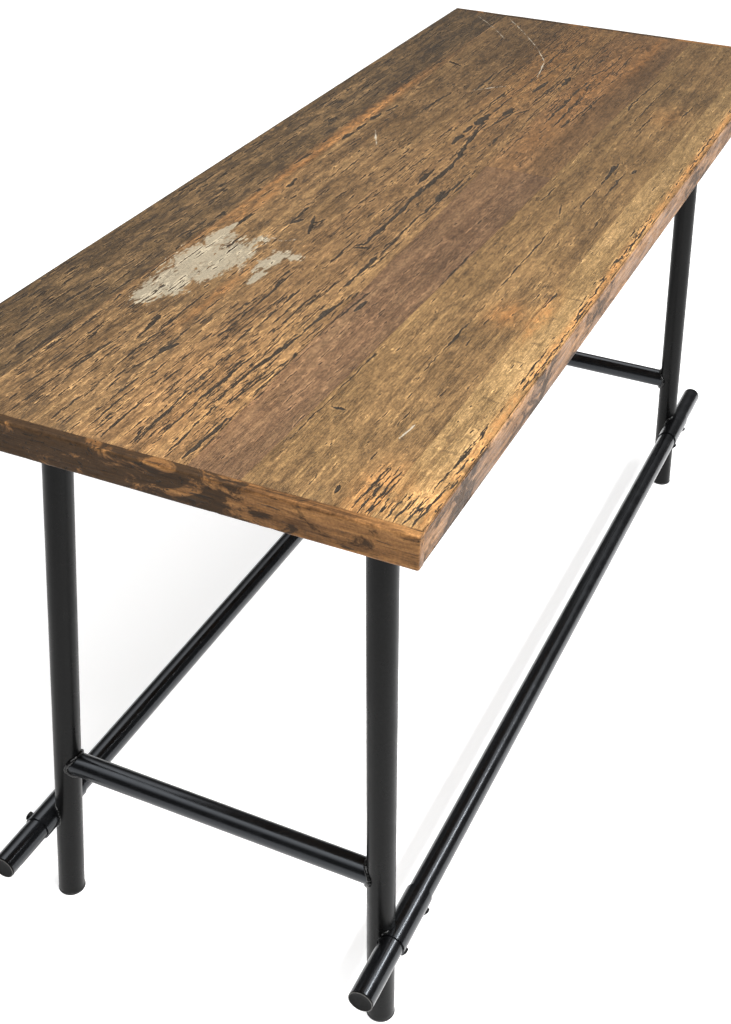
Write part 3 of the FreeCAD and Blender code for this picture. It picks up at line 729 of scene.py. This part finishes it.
TOP_LOW, TOP_HIGH = box_of("top_board_1")
SURFACE = TOP_HIGH[2] / MM
UNDERSIDE = TOP_LOW[2] / MM
THICK = SURFACE - UNDERSIDE
STATION_STEP = 4.0
COLUMN_STEP = 1.25
OUTER_ROUND = 2.6
JOINT_ROUND = 0.7
# How light the wood is at the near end; how much darker it is at the far end and between
# which places it fades, partly the wood's own tone and partly painted shade of light that
# falls off along the top; and how much darker it is underneath, which is painted shade.
NEAR_TONE = 0.82
FAR_DROP_WOOD_AND_SHADE = 0.28
FADE_SPAN_WOOD_AND_SHADE = (-600.0, 950.0)
UNDERSIDE_PAINTED_SHADE = 0.5


def end_places(node, side):
    """Where one long edge of a plank lies at its near and its far end, in millimetres."""
    points = points_of(node) / MM
    pick = np.max if side > 0 else np.min
    ends = []
    for x in (points[:, 0].min(), points[:, 0].max()):
        ends.append(pick(points[np.abs(points[:, 0] - x) < 0.01, 1]))
    return ends


def plank_section(width):
    """The outline of a plank's section, as arrays of share across, y and z moves.

    A point lies at low + share * width + side * round, and surface + rise * round + drop.
    """
    columns = int(width / COLUMN_STEP)
    rows = []
    for share in np.linspace(1, 0, columns):
        side = -1.0 if share == 1 else 1.0 if share == 0 else 0.0
        rows.append((share, side, 0.0, 0.0, 1))
    rows.append((0, 0.3, -0.3, 0, 0))
    for drop in np.linspace(0, -THICK, 17):
        rise = -1.0 if drop == 0 else 1.0 if drop == -THICK else 0.0
        rows.append((0, 0.0, rise, drop, 0))
    for share in np.linspace(0.02, 0.98, 8):
        rows.append((share, 0.0, 0.0, -THICK, 0))
    for drop in np.linspace(-THICK, 0, 17):
        rise = -1.0 if drop == 0 else 1.0 if drop == -THICK else 0.0
        rows.append((1, 0.0, rise, drop, 0))
    rows.append((1, -0.3, -0.3, 0, 0))
    return np.array(rows).T


def plank_rings(node, low_outer, high_outer, seed):
    """Points of a plank, (stations, points, 3) in millimetres, and what they need."""
    low_end, high_end = end_places(node, -1), end_places(node, 1)
    x_low, x_high = (corner[0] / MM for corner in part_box(node))
    count = int((x_high - x_low) / STATION_STEP)
    stations = np.concatenate([[x_low], np.linspace(x_low + 0.8, x_high - 0.8, count), [x_high]])
    share, side, rise, drop, on_top = plank_section(high_end[0] - low_end[0])
    along = (stations - x_low) / (x_high - x_low)
    low = (low_end[0] + (low_end[1] - low_end[0]) * along)[:, None]
    high = (high_end[0] + (high_end[1] - high_end[0]) * along)[:, None]
    round_low = OUTER_ROUND if low_outer else JOINT_ROUND
    round_high = OUTER_ROUND if high_outer else JOINT_ROUND
    wear = 1.0 + 0.45 * layered(stations / 60.0, stations * 0 + seed, 31)[:, None]
    radius = np.where(share < 0.5, round_low, round_high)[None, :] * wear
    x = np.repeat(stations[:, None], len(share), 1)
    y = low + share * (high - low) + side * radius
    z = SURFACE + rise * radius + drop + 0 * x
    return x, y, z, on_top > 0, share


def make_plank(node, material, sides, seed, low_outer=False, high_outer=False):
    """A plank with its checks cut in, its edges worn and its marks stored for the shader."""
    x, y, z, top, share = plank_rings(node, low_outer, high_outer, seed)
    crack = crack_field(x, y)
    hollow = smooth(crack, -0.5, 2.6) * np.clip(0.7 + crack * 0.5, 0.3, 2.2)
    waves = 0.22 * layered(x / 90.0, y / 22.0, 51) + 0.10 * noise(x / 24.0, y / 5.0, 53)
    middle, reach = (x[0, 0] + x[-1, 0]) / 2, (x[-1, 0] - x[0, 0]) / 2
    ends = smooth(np.abs(x - middle), reach - 1.2, reach)
    z = np.where(top, z - hollow + np.minimum(waves, 0.25) - 0.25 - 0.5 * ends, z)
    outward = np.where(share < 0.5, -1.0, 1.0)
    flat_side = (~top) & ((share == 0) & low_outer | (share == 1) & high_outer)
    dents = 0.45 * layered(x / 70.0, z / 16.0, seed + 71) - 0.45
    y = np.where(flat_side, y + outward * dents, y)
    skin = loft(np.stack([x, y, z], -1) * MM)
    mesh = mesh_from(node + "_wood", [skin])
    tone_and_shade = 1.0 + spot_field(x, y, TONES) + 0.06 * layered(x / 120.0, y / 30.0, seed + 5)
    # darker towards the far end: partly the wood's own tone, partly painted shade of the light
    # falling off
    tone_and_shade *= NEAR_TONE - FAR_DROP_WOOD_AND_SHADE * smooth(x, *FADE_SPAN_WOOD_AND_SHADE)
    # painted shade: the underside of the top is made darker
    tone_and_shade = np.where(z < UNDERSIDE + 1.0, UNDERSIDE_PAINTED_SHADE * tone_and_shade, tone_and_shade)
    store(mesh, "crack", np.where(top, crack, -4.0))
    store(mesh, "tone_and_shade", tone_and_shade)
    store(mesh, "warm", np.clip(spot_field(x, y, WARM_SPOTS), 0, 0.8))
    store(mesh, "paint", np.where(top, paint_field(x, y), -2.0))
    store(mesh, "scuff", np.where(top, scratch_field(x, y), -4.0))
    store(mesh, "saw", np.where(top, saw_field(x, y), -4.0))
    rim = smooth(z, SURFACE - 5.0, SURFACE - 1.0) + 0.6 * smooth(-z, -UNDERSIDE - 3, -UNDERSIDE)
    store(mesh, "edge", rim)
    store(mesh, "stain", 0.9 * spot_field(x, y, SIDE_STAINS))
    item = add_object(node + "_wood", mesh, [material, sides], "root")
    faces = np.zeros(len(mesh.polygons) * 3)
    mesh.polygons.foreach_get("normal", faces)
    faces = faces.reshape(-1, 3)
    outer = np.abs(faces[:, 1]) > 0.75
    if not (low_outer or high_outer):
        outer[:] = False
    mesh.polygons.foreach_set("material_index", outer.astype(np.int32))
    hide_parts(node)
    return item


def make_lipping(node, outward, material, seed):
    """Strip across an end: worn outer edges, rounded ends and shallow dents."""
    low, high = (corner / MM for corner in box_of(node))
    outer = low[0] if outward < 0 else high[0]
    inner = high[0] if outward < 0 else low[0]
    depth = abs(outer - inner)
    rows = []
    # inward is the distance from the outer face, down the distance below the surface
    for down in np.linspace(OUTER_ROUND, THICK - OUTER_ROUND, 30):
        rows.append((0.0, down))
    rows.append((OUTER_ROUND * 0.3, THICK - OUTER_ROUND * 0.3))
    for inward in np.linspace(OUTER_ROUND, depth - 0.5, 8):
        rows.append((inward, THICK))
    for down in np.linspace(THICK - 0.5, 0.6, 6):
        rows.append((depth, down))
    for inward in np.linspace(depth - 0.6, OUTER_ROUND, 10):
        rows.append((inward, 0.0))
    rows.append((OUTER_ROUND * 0.3, OUTER_ROUND * 0.3))
    inward, down = np.array(rows).T
    stations = np.concatenate([low[1] + np.array([0, 0.3, 0.8, 1.6, 2.6, 4.0]),
                               np.linspace(low[1] + 6, high[1] - 6, 290),
                               high[1] - np.array([4.0, 2.6, 1.6, 0.8, 0.3, 0])])
    y = np.repeat(stations[:, None], len(inward), 1)
    inward = np.repeat(inward[None, :], len(stations), 0)
    down = np.repeat(down[None, :], len(stations), 0)
    front = smooth(-inward, -4.0, 0.0)
    upper = smooth(-down, -6.0, 0.0)
    dents = 0.5 + 0.5 * layered(y / 60.0, down / 14.0, seed)
    chips = smooth(layered(y / 14.0, down / 9.0, seed + 9), 0.35, 0.8)
    wear = 0.9 * (0.5 + 0.5 * layered(y / 34.0, y * 0, seed + 4))
    inward = inward + front * (0.5 * dents + 0.7 * chips) + front * upper * wear
    down = down + upper * (0.25 + 0.25 * layered(y / 50.0, inward / 6.0, seed + 2))
    down = down + front * upper * wear
    near_end = np.minimum(y - low[1], high[1] - y)
    short = np.clip(OUTER_ROUND - near_end, 0, OUTER_ROUND)
    tuck = OUTER_ROUND - np.sqrt(np.clip(OUTER_ROUND ** 2 - short ** 2, 0, None))
    inward = inward + tuck * front
    down = down + tuck * 0.5 * np.where(down < THICK / 2, 1, -1)
    x = outer - outward * inward
    z = SURFACE - down
    mesh = mesh_from(node + "_wood", [loft(np.stack([x, y, z], -1) * MM)])
    edge = smooth(-np.hypot(inward, down), -7.0, -1.5) + 0.8 * smooth(-inward, -1.0, 0.0) \
        * smooth(down, THICK - 6, THICK - 1)
    store(mesh, "edge", edge)
    store(mesh, "stain", smooth(y, -230.0, -40.0) * 0.8 + 0.25)
    item = add_object(node + "_wood", mesh, [material], "root")
    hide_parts(node)
    return item


# ------------------------------------------------------------------ the steel


def leg_line(corner):
    """A leg's axis as (point, direction), read from the two ends of its tube."""
    points = points_of("leg_" + corner)
    ends = []
    for z in (points[:, 2].min(), points[:, 2].max()):
        near = points[np.abs(points[:, 2] - z) < 0.0005]
        ends.append((near.min(0) + near.max(0)) / 2)
    direction = (ends[1] - ends[0]) / np.linalg.norm(ends[1] - ends[0])
    return ends[0], direction


LEG_RADIUS = 21.2 * MM
SLEEVE_RADIUS = 21.2 * MM
CROSS_RAIL_RADIUS = 19.0 * MM
CROSS_BEAD = 3.5 * MM
SLEEVE_BEAD = 3.0 * MM
HEAD_BEAD = 2.8 * MM


def crossings(point, start, along, radius):
    """Distances along a line from a point at which it meets a leg's skin."""
    axis_point, axis = start
    gap = point - axis_point
    across = along - axis * np.dot(along, axis)
    gap = gap - axis * np.dot(gap, axis)
    a = np.dot(across, across)
    b = 2 * np.dot(across, gap)
    c = np.dot(gap, gap) - radius ** 2
    inside = b * b - 4 * a * c
    if inside < 0:
        return None
    root = math.sqrt(inside)
    return (-b - root) / (2 * a), (-b + root) / (2 * a)


def bead(path, size, seed, closed=True):
    """Skin of a weld bead: overlapping lumps laid along a path."""
    path = np.array(path)
    count = len(path)
    if closed:
        tangent = np.roll(path, -1, 0) - np.roll(path, 1, 0)
    else:
        tangent = np.gradient(path, axis=0)
    tangent /= np.linalg.norm(tangent, axis=1)[:, None]
    steps = np.linalg.norm(np.diff(path, axis=0), axis=1)
    run = np.concatenate([[0], np.cumsum(steps)]) / MM
    lumps = np.abs(np.sin(math.pi * run / 4.6 + 0.6 * noise(run / 9.0, run * 0, seed)))
    swell = size * (0.80 + 0.24 * lumps + 0.18 * noise(run / 7.0, run * 0 + 2.0, seed + 1))
    if not closed:
        swell *= np.clip(np.minimum(np.arange(count), np.arange(count)[::-1]) / 3.0, 0.15, 1.0)
    up = np.array([0.13, 0.21, 1.0])
    side = np.cross(tangent, up)
    side /= np.linalg.norm(side, axis=1)[:, None]
    over = np.cross(side, tangent)
    turn = turns(14)
    rings = path[:, None] + swell[:, None, None] * (
        np.cos(turn)[None, :, None] * side[:, None] + np.sin(turn)[None, :, None] * over[:, None])
    return loft(rings, looped=closed)


def cross_rail_bead(corner, number):
    """The weld round one end of a cross rail."""
    word, side = corner.split("_")
    middle = sum(box_of("cross_rail_" + word)) / 2
    line = leg_line(corner)
    inward = np.array([0.0, 1.0 if side == "right" else -1.0, 0.0])
    centre_x = line[0][0] + line[1][0] * (middle[2] - line[0][2]) / line[1][2]
    path = []
    for turn in turns(90):
        start = np.array([centre_x + CROSS_RAIL_RADIUS * math.cos(turn), 0.0,
                          middle[2] + CROSS_RAIL_RADIUS * math.sin(turn)])
        near = crossings(start, line, -inward, LEG_RADIUS)[0]
        place = start - inward * near
        lift = np.array([math.cos(turn), 0.0, math.sin(turn)]) * 0.6 * MM
        path.append(place + lift + inward * 0.6 * MM)
    return bead(path, CROSS_BEAD, number + 3)


def sleeve_bead(corner, number):
    """The weld along the line where a sleeve lies in the notch of its leg."""
    low, high = box_of("sleeve_" + corner)
    side = -1.0 if "right" in corner else 1.0
    radius = SLEEVE_RADIUS
    rail = "side_rail_right" if side < 0 else "side_rail_left"
    centre = sum(box_of(rail)) / 2
    line = leg_line(corner)
    spans = []
    for turn in np.linspace(-1.15, 1.15, 200):
        out = np.array([0.0, -side * math.cos(turn), math.sin(turn)])
        start = centre + out * radius
        start[0] = 0.0
        hit = crossings(start, line, np.array([1.0, 0.0, 0.0]), LEG_RADIUS)
        if hit is not None:
            spans.append((start + out * 0.4 * MM, hit))
    x_low, x_high = low[0] + 2 * MM, high[0] - 2 * MM
    path = []
    for start, (near, far) in spans:
        path.append([min(far, x_high), start[1], start[2]])
    for start, (near, far) in reversed(spans):
        path.append([max(near, x_low), start[1], start[2]])
    path = np.array(path)
    steps = np.linalg.norm(np.diff(path, axis=0, append=path[:1]), axis=1)
    run = np.concatenate([[0], np.cumsum(steps)])
    even = np.linspace(0, run[-1], 110, endpoint=False)
    closed = np.vstack([path, path[:1]])
    path = np.stack([np.interp(even, run, closed[:, axis]) for axis in range(3)], 1)
    return bead(path, SLEEVE_BEAD, number + 13)


def head_bead(corner, number):
    """The weld between a leg and its head plate."""
    line = leg_line(corner)
    plate = np.array(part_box("head_plate_" + corner)[0])
    share = (plate[2] - line[0][2]) / line[1][2]
    middle = line[0] + line[1] * share
    path = []
    for turn in turns(96):
        out = np.array([math.cos(turn), math.sin(turn), 0.0])
        path.append(middle + out * (LEG_RADIUS + 0.8 * MM) - np.array([0, 0, 0.8 * MM]))
    return bead(path, HEAD_BEAD, number + 23)


def make_welds(material):
    kinds = [("cross_rail_welds", cross_rail_bead), ("sleeve_welds", sleeve_bead),
             ("head_welds", head_bead)]
    for node, shape in kinds:
        skins = [shape(corner, number * 5) for number, corner in enumerate(CORNERS)]
        item = add_object(node + "_beads", mesh_from(node + "_beads", skins), [material],
                          "root")
        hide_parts(node)


def make_rail_cap(corner, material, rim_material):
    """Flat welded cap with a softened rim."""
    node = "rail_cap_" + corner
    low, high = box_of(node)
    outward = -1.0 if corner.startswith("near") else 1.0
    face = np.array([low[0] if outward < 0 else high[0], (low[1] + high[1]) / 2,
                     (low[2] + high[2]) / 2])
    radius = (high[2] - low[2]) / 2
    inner = radius - 2.6 * MM
    profile = [(0.02 * MM, -0.35 * MM), (inner * 0.5, -0.32 * MM), (radius - 2.4 * MM, -0.2 * MM),
               (radius - 1.5 * MM, -0.02 * MM), (radius - 0.9 * MM, 0.0),
               (radius - 0.35 * MM, -0.12 * MM), (radius - 0.08 * MM, -0.4 * MM),
               (radius, -0.9 * MM), (radius, -3.0 * MM), (inner, -3.0 * MM),
               (inner, -15.0 * MM), (0.02 * MM, -15.0 * MM)]
    skin = lathe(face, (outward, 0, 0), profile, 72)
    mesh = mesh_from(node + "_cap", [skin])
    item = add_object(node + "_cap", mesh, [material, rim_material],
                      "rail_" + corner.split("_")[1])
    for polygon in mesh.polygons:
        off = np.array(polygon.center) - face
        ring = math.hypot(off[1], off[2])
        if off[0] * outward > -0.0004 and radius - 1.4 * MM < ring < radius - 0.2 * MM:
            polygon.material_index = 1
    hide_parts(node)


# Millimetres from a nut's middle to its flats, and how far it stands out of its sleeve.
NUT_RADIUS = 7.0
NUT_PROUD = 4.5
NUT_POINTS = 48


def clamp_sites():
    """(sleeve axis point beside the nut, outward direction) of each clamping nut."""
    points = points_of("clamp_screws")
    sites = []
    for corner in CORNERS:
        low, high = box_of("sleeve_" + corner)
        rail = "side_rail_" + corner.split("_")[1]
        axis = sum(box_of(rail)) / 2
        for half in (0, 1):
            x0 = low[0] + (high[0] - low[0]) / 2 * half
            x1 = x0 + (high[0] - low[0]) / 2
            same_side = points[:, 1] * axis[1] > 0
            mine = points[same_side & (points[:, 0] > x0) & (points[:, 0] < x1)]
            middle = (mine.min(0) + mine.max(0)) / 2
            centre = np.array([middle[0], axis[1], axis[2]])
            out = middle - centre
            sites.append((centre, out / np.linalg.norm(out)))
    return sites


def make_clamps(nut_material, screw_material):
    """Chamfered hexagon nuts saddled on the sleeves, and the socket screws in them."""
    nuts = []
    screws = []
    radius = SLEEVE_RADIUS
    for number, (centre, out) in enumerate(clamp_sites()):
        along = np.array([1.0, 0.0, 0.0])
        across = np.cross(out, along)
        angles = turns(NUT_POINTS) + 0.35 * (number % 3)
        flat = NUT_RADIUS * MM / np.cos((angles % (math.pi / 3)) - math.pi / 6)
        circle = np.cos(angles)[:, None] * along + np.sin(angles)[:, None] * across
        seat = np.sqrt(np.clip(radius ** 2 - (flat * np.sin(angles)) ** 2, 0, None)) - 0.3 * MM
        top = radius + NUT_PROUD * MM
        rings = []
        for size, height in [(1.0, None), (1.0, top - 1.1 * MM), (0.985, top - 0.6 * MM)]:
            level = seat if height is None else np.full(NUT_POINTS, height)
            rings.append(centre + out * level[:, None] + circle * (flat * size)[:, None])
        for ring_radius, height in [(6.7, 0.0), (6.2, 0.1), (5.6, 0.05), (5.1, -0.5),
                                    (5.05, -3.0)]:
            rings.append(centre + out * (top + height * MM) + circle * ring_radius * MM)
        nuts.append(loft(np.array(rings)))
        hex_turn = 2.5 * MM / np.cos((angles % (math.pi / 3)) - math.pi / 6)
        screw_rings = []
        head = top + 0.8 * MM
        for ring_radius, height in [(4.95, -8.0), (4.95, -0.6), (4.5, 0.0)]:
            screw_rings.append(centre + out * (head + height * MM) + circle * ring_radius * MM)
        for height in (0.0, -4.0):
            screw_rings.append(centre + out * (head + height * MM) + circle * hex_turn[:, None])
        screws.append(loft(np.array(screw_rings)))
    for node, skins, material, slot in [("clamp_nuts", nuts, nut_material, "black_steel"),
                                        ("clamp_screws", screws, screw_material, "black_screw")]:
        mesh = mesh_from(node + "_set", skins)
        sharpen(mesh, 28)
        item = add_object(node + "_set", mesh, [material], "root")
        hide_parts(node)


def make_foot_disc(corner, material):
    """Moulded glide with a rounded foot and a shallow ring on top."""
    node = "foot_disc_" + corner
    low, high = box_of(node)
    base = np.array([(low[0] + high[0]) / 2, (low[1] + high[1]) / 2, low[2]])
    radius = (high[0] - low[0]) / 2
    height = high[2] - low[2]
    profile = [(0.02 * MM, 0.0), (radius - 1.4 * MM, 0.0), (radius - 0.5 * MM, 0.25 * MM),
               (radius, 1.1 * MM), (radius, height - 1.0 * MM),
               (radius - 0.3 * MM, height - 0.3 * MM), (radius - 0.9 * MM, height),
               (0.02 * MM, height)]
    mesh = mesh_from(node + "_glide", [lathe(base, (0, 0, 1), profile, 72)])
    item = add_object(node + "_glide", mesh, [material], "foot_" + corner)
    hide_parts(node)


def dress(node, material):
    """Give a CAD node a finished material."""
    NODES[node].data.materials.clear()
    NODES[node].data.materials.append(material)


# ------------------------------------------------------------------ build

# Of each plank: the three shades of its grain, then its streaks, hair cracks and blotches.
WOODS = {
    "top_board_1": ((58, 45, 31), (93, 74, 50), (128, 102, 70), 0.9, 0.6, 1.0),
    "top_board_2": ((78, 60, 40), (120, 94, 63), (152, 122, 82), 0.6, 0.6, 0.7),
    "top_board_3": ((78, 59, 39), (121, 94, 63), (152, 121, 80), 0.6, 0.6, 0.35),
    "top_board_4_near": ((78, 57, 41), (104, 80, 57), (124, 98, 71), 0.3, 0.4, 0.1),
    "top_board_4_far": ((80, 60, 39), (114, 87, 58), (140, 108, 72), 0.3, 0.5, 0.2),
    "top_board_5": ((84, 64, 41), (122, 96, 62), (148, 119, 78), 0.3, 0.5, 0.25),
    "top_board_6": ((106, 82, 53), (149, 121, 80), (176, 145, 100), 0.3, 0.35, 0.15),
}
# The photo is a little less green and blue than those shades.
WOOD_TINT = (1.0, 0.98, 0.96)

long_side = side_material("long_side_wood", (paint(78, 55, 37), paint(122, 90, 61),
                                             paint(154, 117, 82)),
                          paint(50, 39, 30), 3.0)
for number, (node, look) in enumerate(WOODS.items()):
    shades = [paint(*(round(part * share) for part, share in zip(shade, WOOD_TINT)))
              for shade in look[:3]]
    wood = plank_material(node + "_finish", shades, 7.0 * number + 1.0, *look[3:])
    make_plank(node, wood, long_side, number * 7 + 2,
               low_outer=node == "top_board_6", high_outer=node == "top_board_1")

end_wood = side_material("end_strip_wood", (paint(74, 50, 28), paint(112, 78, 45),
                                            paint(142, 102, 61)),
                         paint(34, 26, 18), 11.0, along=(0, 1))
make_lipping("end_lipping_near", -1, end_wood, 3)
make_lipping("end_lipping_far", 1, end_wood, 8)

steel = coated_steel("black_steel_coat", paint(9, 9, 9), 0.30, specular=0.12)
rail_steel = coated_steel("rail_steel_coat", paint(9, 9, 10), 0.22,
                           specular=0.42, waviness=0.06, dots=0.004)
cap_steel = coated_steel("cap_steel_coat", paint(9, 9, 9), 0.50, specular=0.06)
rim_steel = coated_steel("cap_rim_worn", paint(60, 58, 55), 0.40)
weld_steel = coated_steel("weld_coat", paint(10, 10, 10), 0.20, specular=0.3, waviness=0.4)
screw_steel = coated_steel("screw_black", paint(18, 18, 19), 0.38)
zinc = bare_metal("zinc_plate", paint(188, 188, 184), 0.32)
glide = glide_plastic()

for corner in CORNERS:
    for part in ("leg_", "head_plate_", "leg_end_plate_"):
        dress(part + corner, steel)
    dress("sleeve_" + corner, rail_steel)
    dress("foot_stud_" + corner, zinc)
    make_rail_cap(corner, cap_steel, rim_steel)
    make_foot_disc(corner, glide)
for node in ("cross_rail_near", "cross_rail_far", "side_rail_right", "side_rail_left"):
    dress(node, rail_steel)
dress("wood_screws", zinc)
dress("foot_nuts", zinc)
dress("edge_dowels", plain_wood())
make_welds(weld_steel)
make_clamps(steel, screw_steel)

# ------------------------------------------------------------------ stage

FLOOR_SIZE = 30.0
FLOOR_GLOW = 0.35


def make_floor():
    """Plain pale floor."""
    mesh = bpy.data.meshes.new("floor")
    half = FLOOR_SIZE / 2
    drop = CAD_BOX[0][2] - 0.0002
    mesh.from_pydata([(-half, -half, drop), (half, -half, drop), (half, half, drop),
                      (-half, half, drop)], [], [(0, 1, 2, 3)])
    floor = in_scene("floor", mesh)
    shader = Shader("floor_white", roughness=0.9, specular=0.1)
    shader.surface.inputs["Emission Color"].default_value = (1.0, 1.0, 1.0, 1.0)
    shader.surface.inputs["Emission Strength"].default_value = FLOOR_GLOW
    mesh.materials.append(shader.done((0.94, 0.94, 0.94, 1.0)))


def make_world(light, low, high):
    """Even white light. What is mirrored of it is dim low down and bright overhead."""
    world = bpy.data.worlds.new("studio")
    bpy.context.scene.world = world
    world.use_nodes = True
    tree = world.node_tree

    def node(kind):
        return tree.nodes.new("ShaderNode" + kind)

    back = tree.nodes["Background"]
    back.inputs["Color"].default_value = (1.0, 1.0, 1.0, 1.0)
    path, place, split = node("LightPath"), node("TexCoord"), node("SeparateXYZ")
    overhead, strength = node("MapRange"), node("MapRange")
    overhead.interpolation_type = "SMOOTHSTEP"
    for name, value in (("From Min", 0.50), ("From Max", 0.90), ("To Min", low),
                        ("To Max", high)):
        overhead.inputs[name].default_value = value
    strength.inputs["To Min"].default_value = light
    for output, socket in ((place.outputs["Generated"], split.inputs["Vector"]),
                           (split.outputs["Z"], overhead.inputs["Value"]),
                           (path.outputs["Is Glossy Ray"], strength.inputs["Value"]),
                           (overhead.outputs["Result"], strength.inputs["To Max"]),
                           (strength.outputs["Result"], back.inputs["Strength"])):
        tree.links.new(output, socket)


def make_softbox(name, place, target, width, height, power):
    lamp = bpy.data.lights.new(name, "AREA")
    lamp.shape = "RECTANGLE"
    lamp.size = width
    lamp.size_y = height
    lamp.energy = power
    item = in_scene(name, lamp)
    item.location = place
    aim = Vector(target) - Vector(place)
    item.rotation_euler = aim.to_track_quat("-Z", "Y").to_euler()


CAMERA_PLACE = (-2.0655, -0.7893, 1.8462)
CAMERA_TURN = (55.465, -1.054, -65.288)
CAMERA_LENS = 49.32
FILM_HEIGHT = 36.0


def make_camera():
    lens = bpy.data.cameras.new("camera")
    lens.sensor_fit = "VERTICAL"
    lens.sensor_height = FILM_HEIGHT
    lens.sensor_width = FILM_HEIGHT
    lens.lens = CAMERA_LENS
    camera = in_scene("camera", lens)
    camera.location = CAMERA_PLACE
    camera.rotation_euler = [math.radians(angle) for angle in CAMERA_TURN]
    bpy.context.scene.camera = camera


make_floor()
make_world(light=0.75, low=0.12, high=3.6)
make_softbox("key", (-1.6, -0.6, 3.4), (-0.2, 0.0, 0.6), 2.0, 1.2, 38)
make_softbox("strip", (0.2, -2.0, 3.2), (0.2, -0.2, 0.3), 5.0, 0.40, 190)
make_camera()
bpy.context.scene.view_settings.view_transform = "Standard"
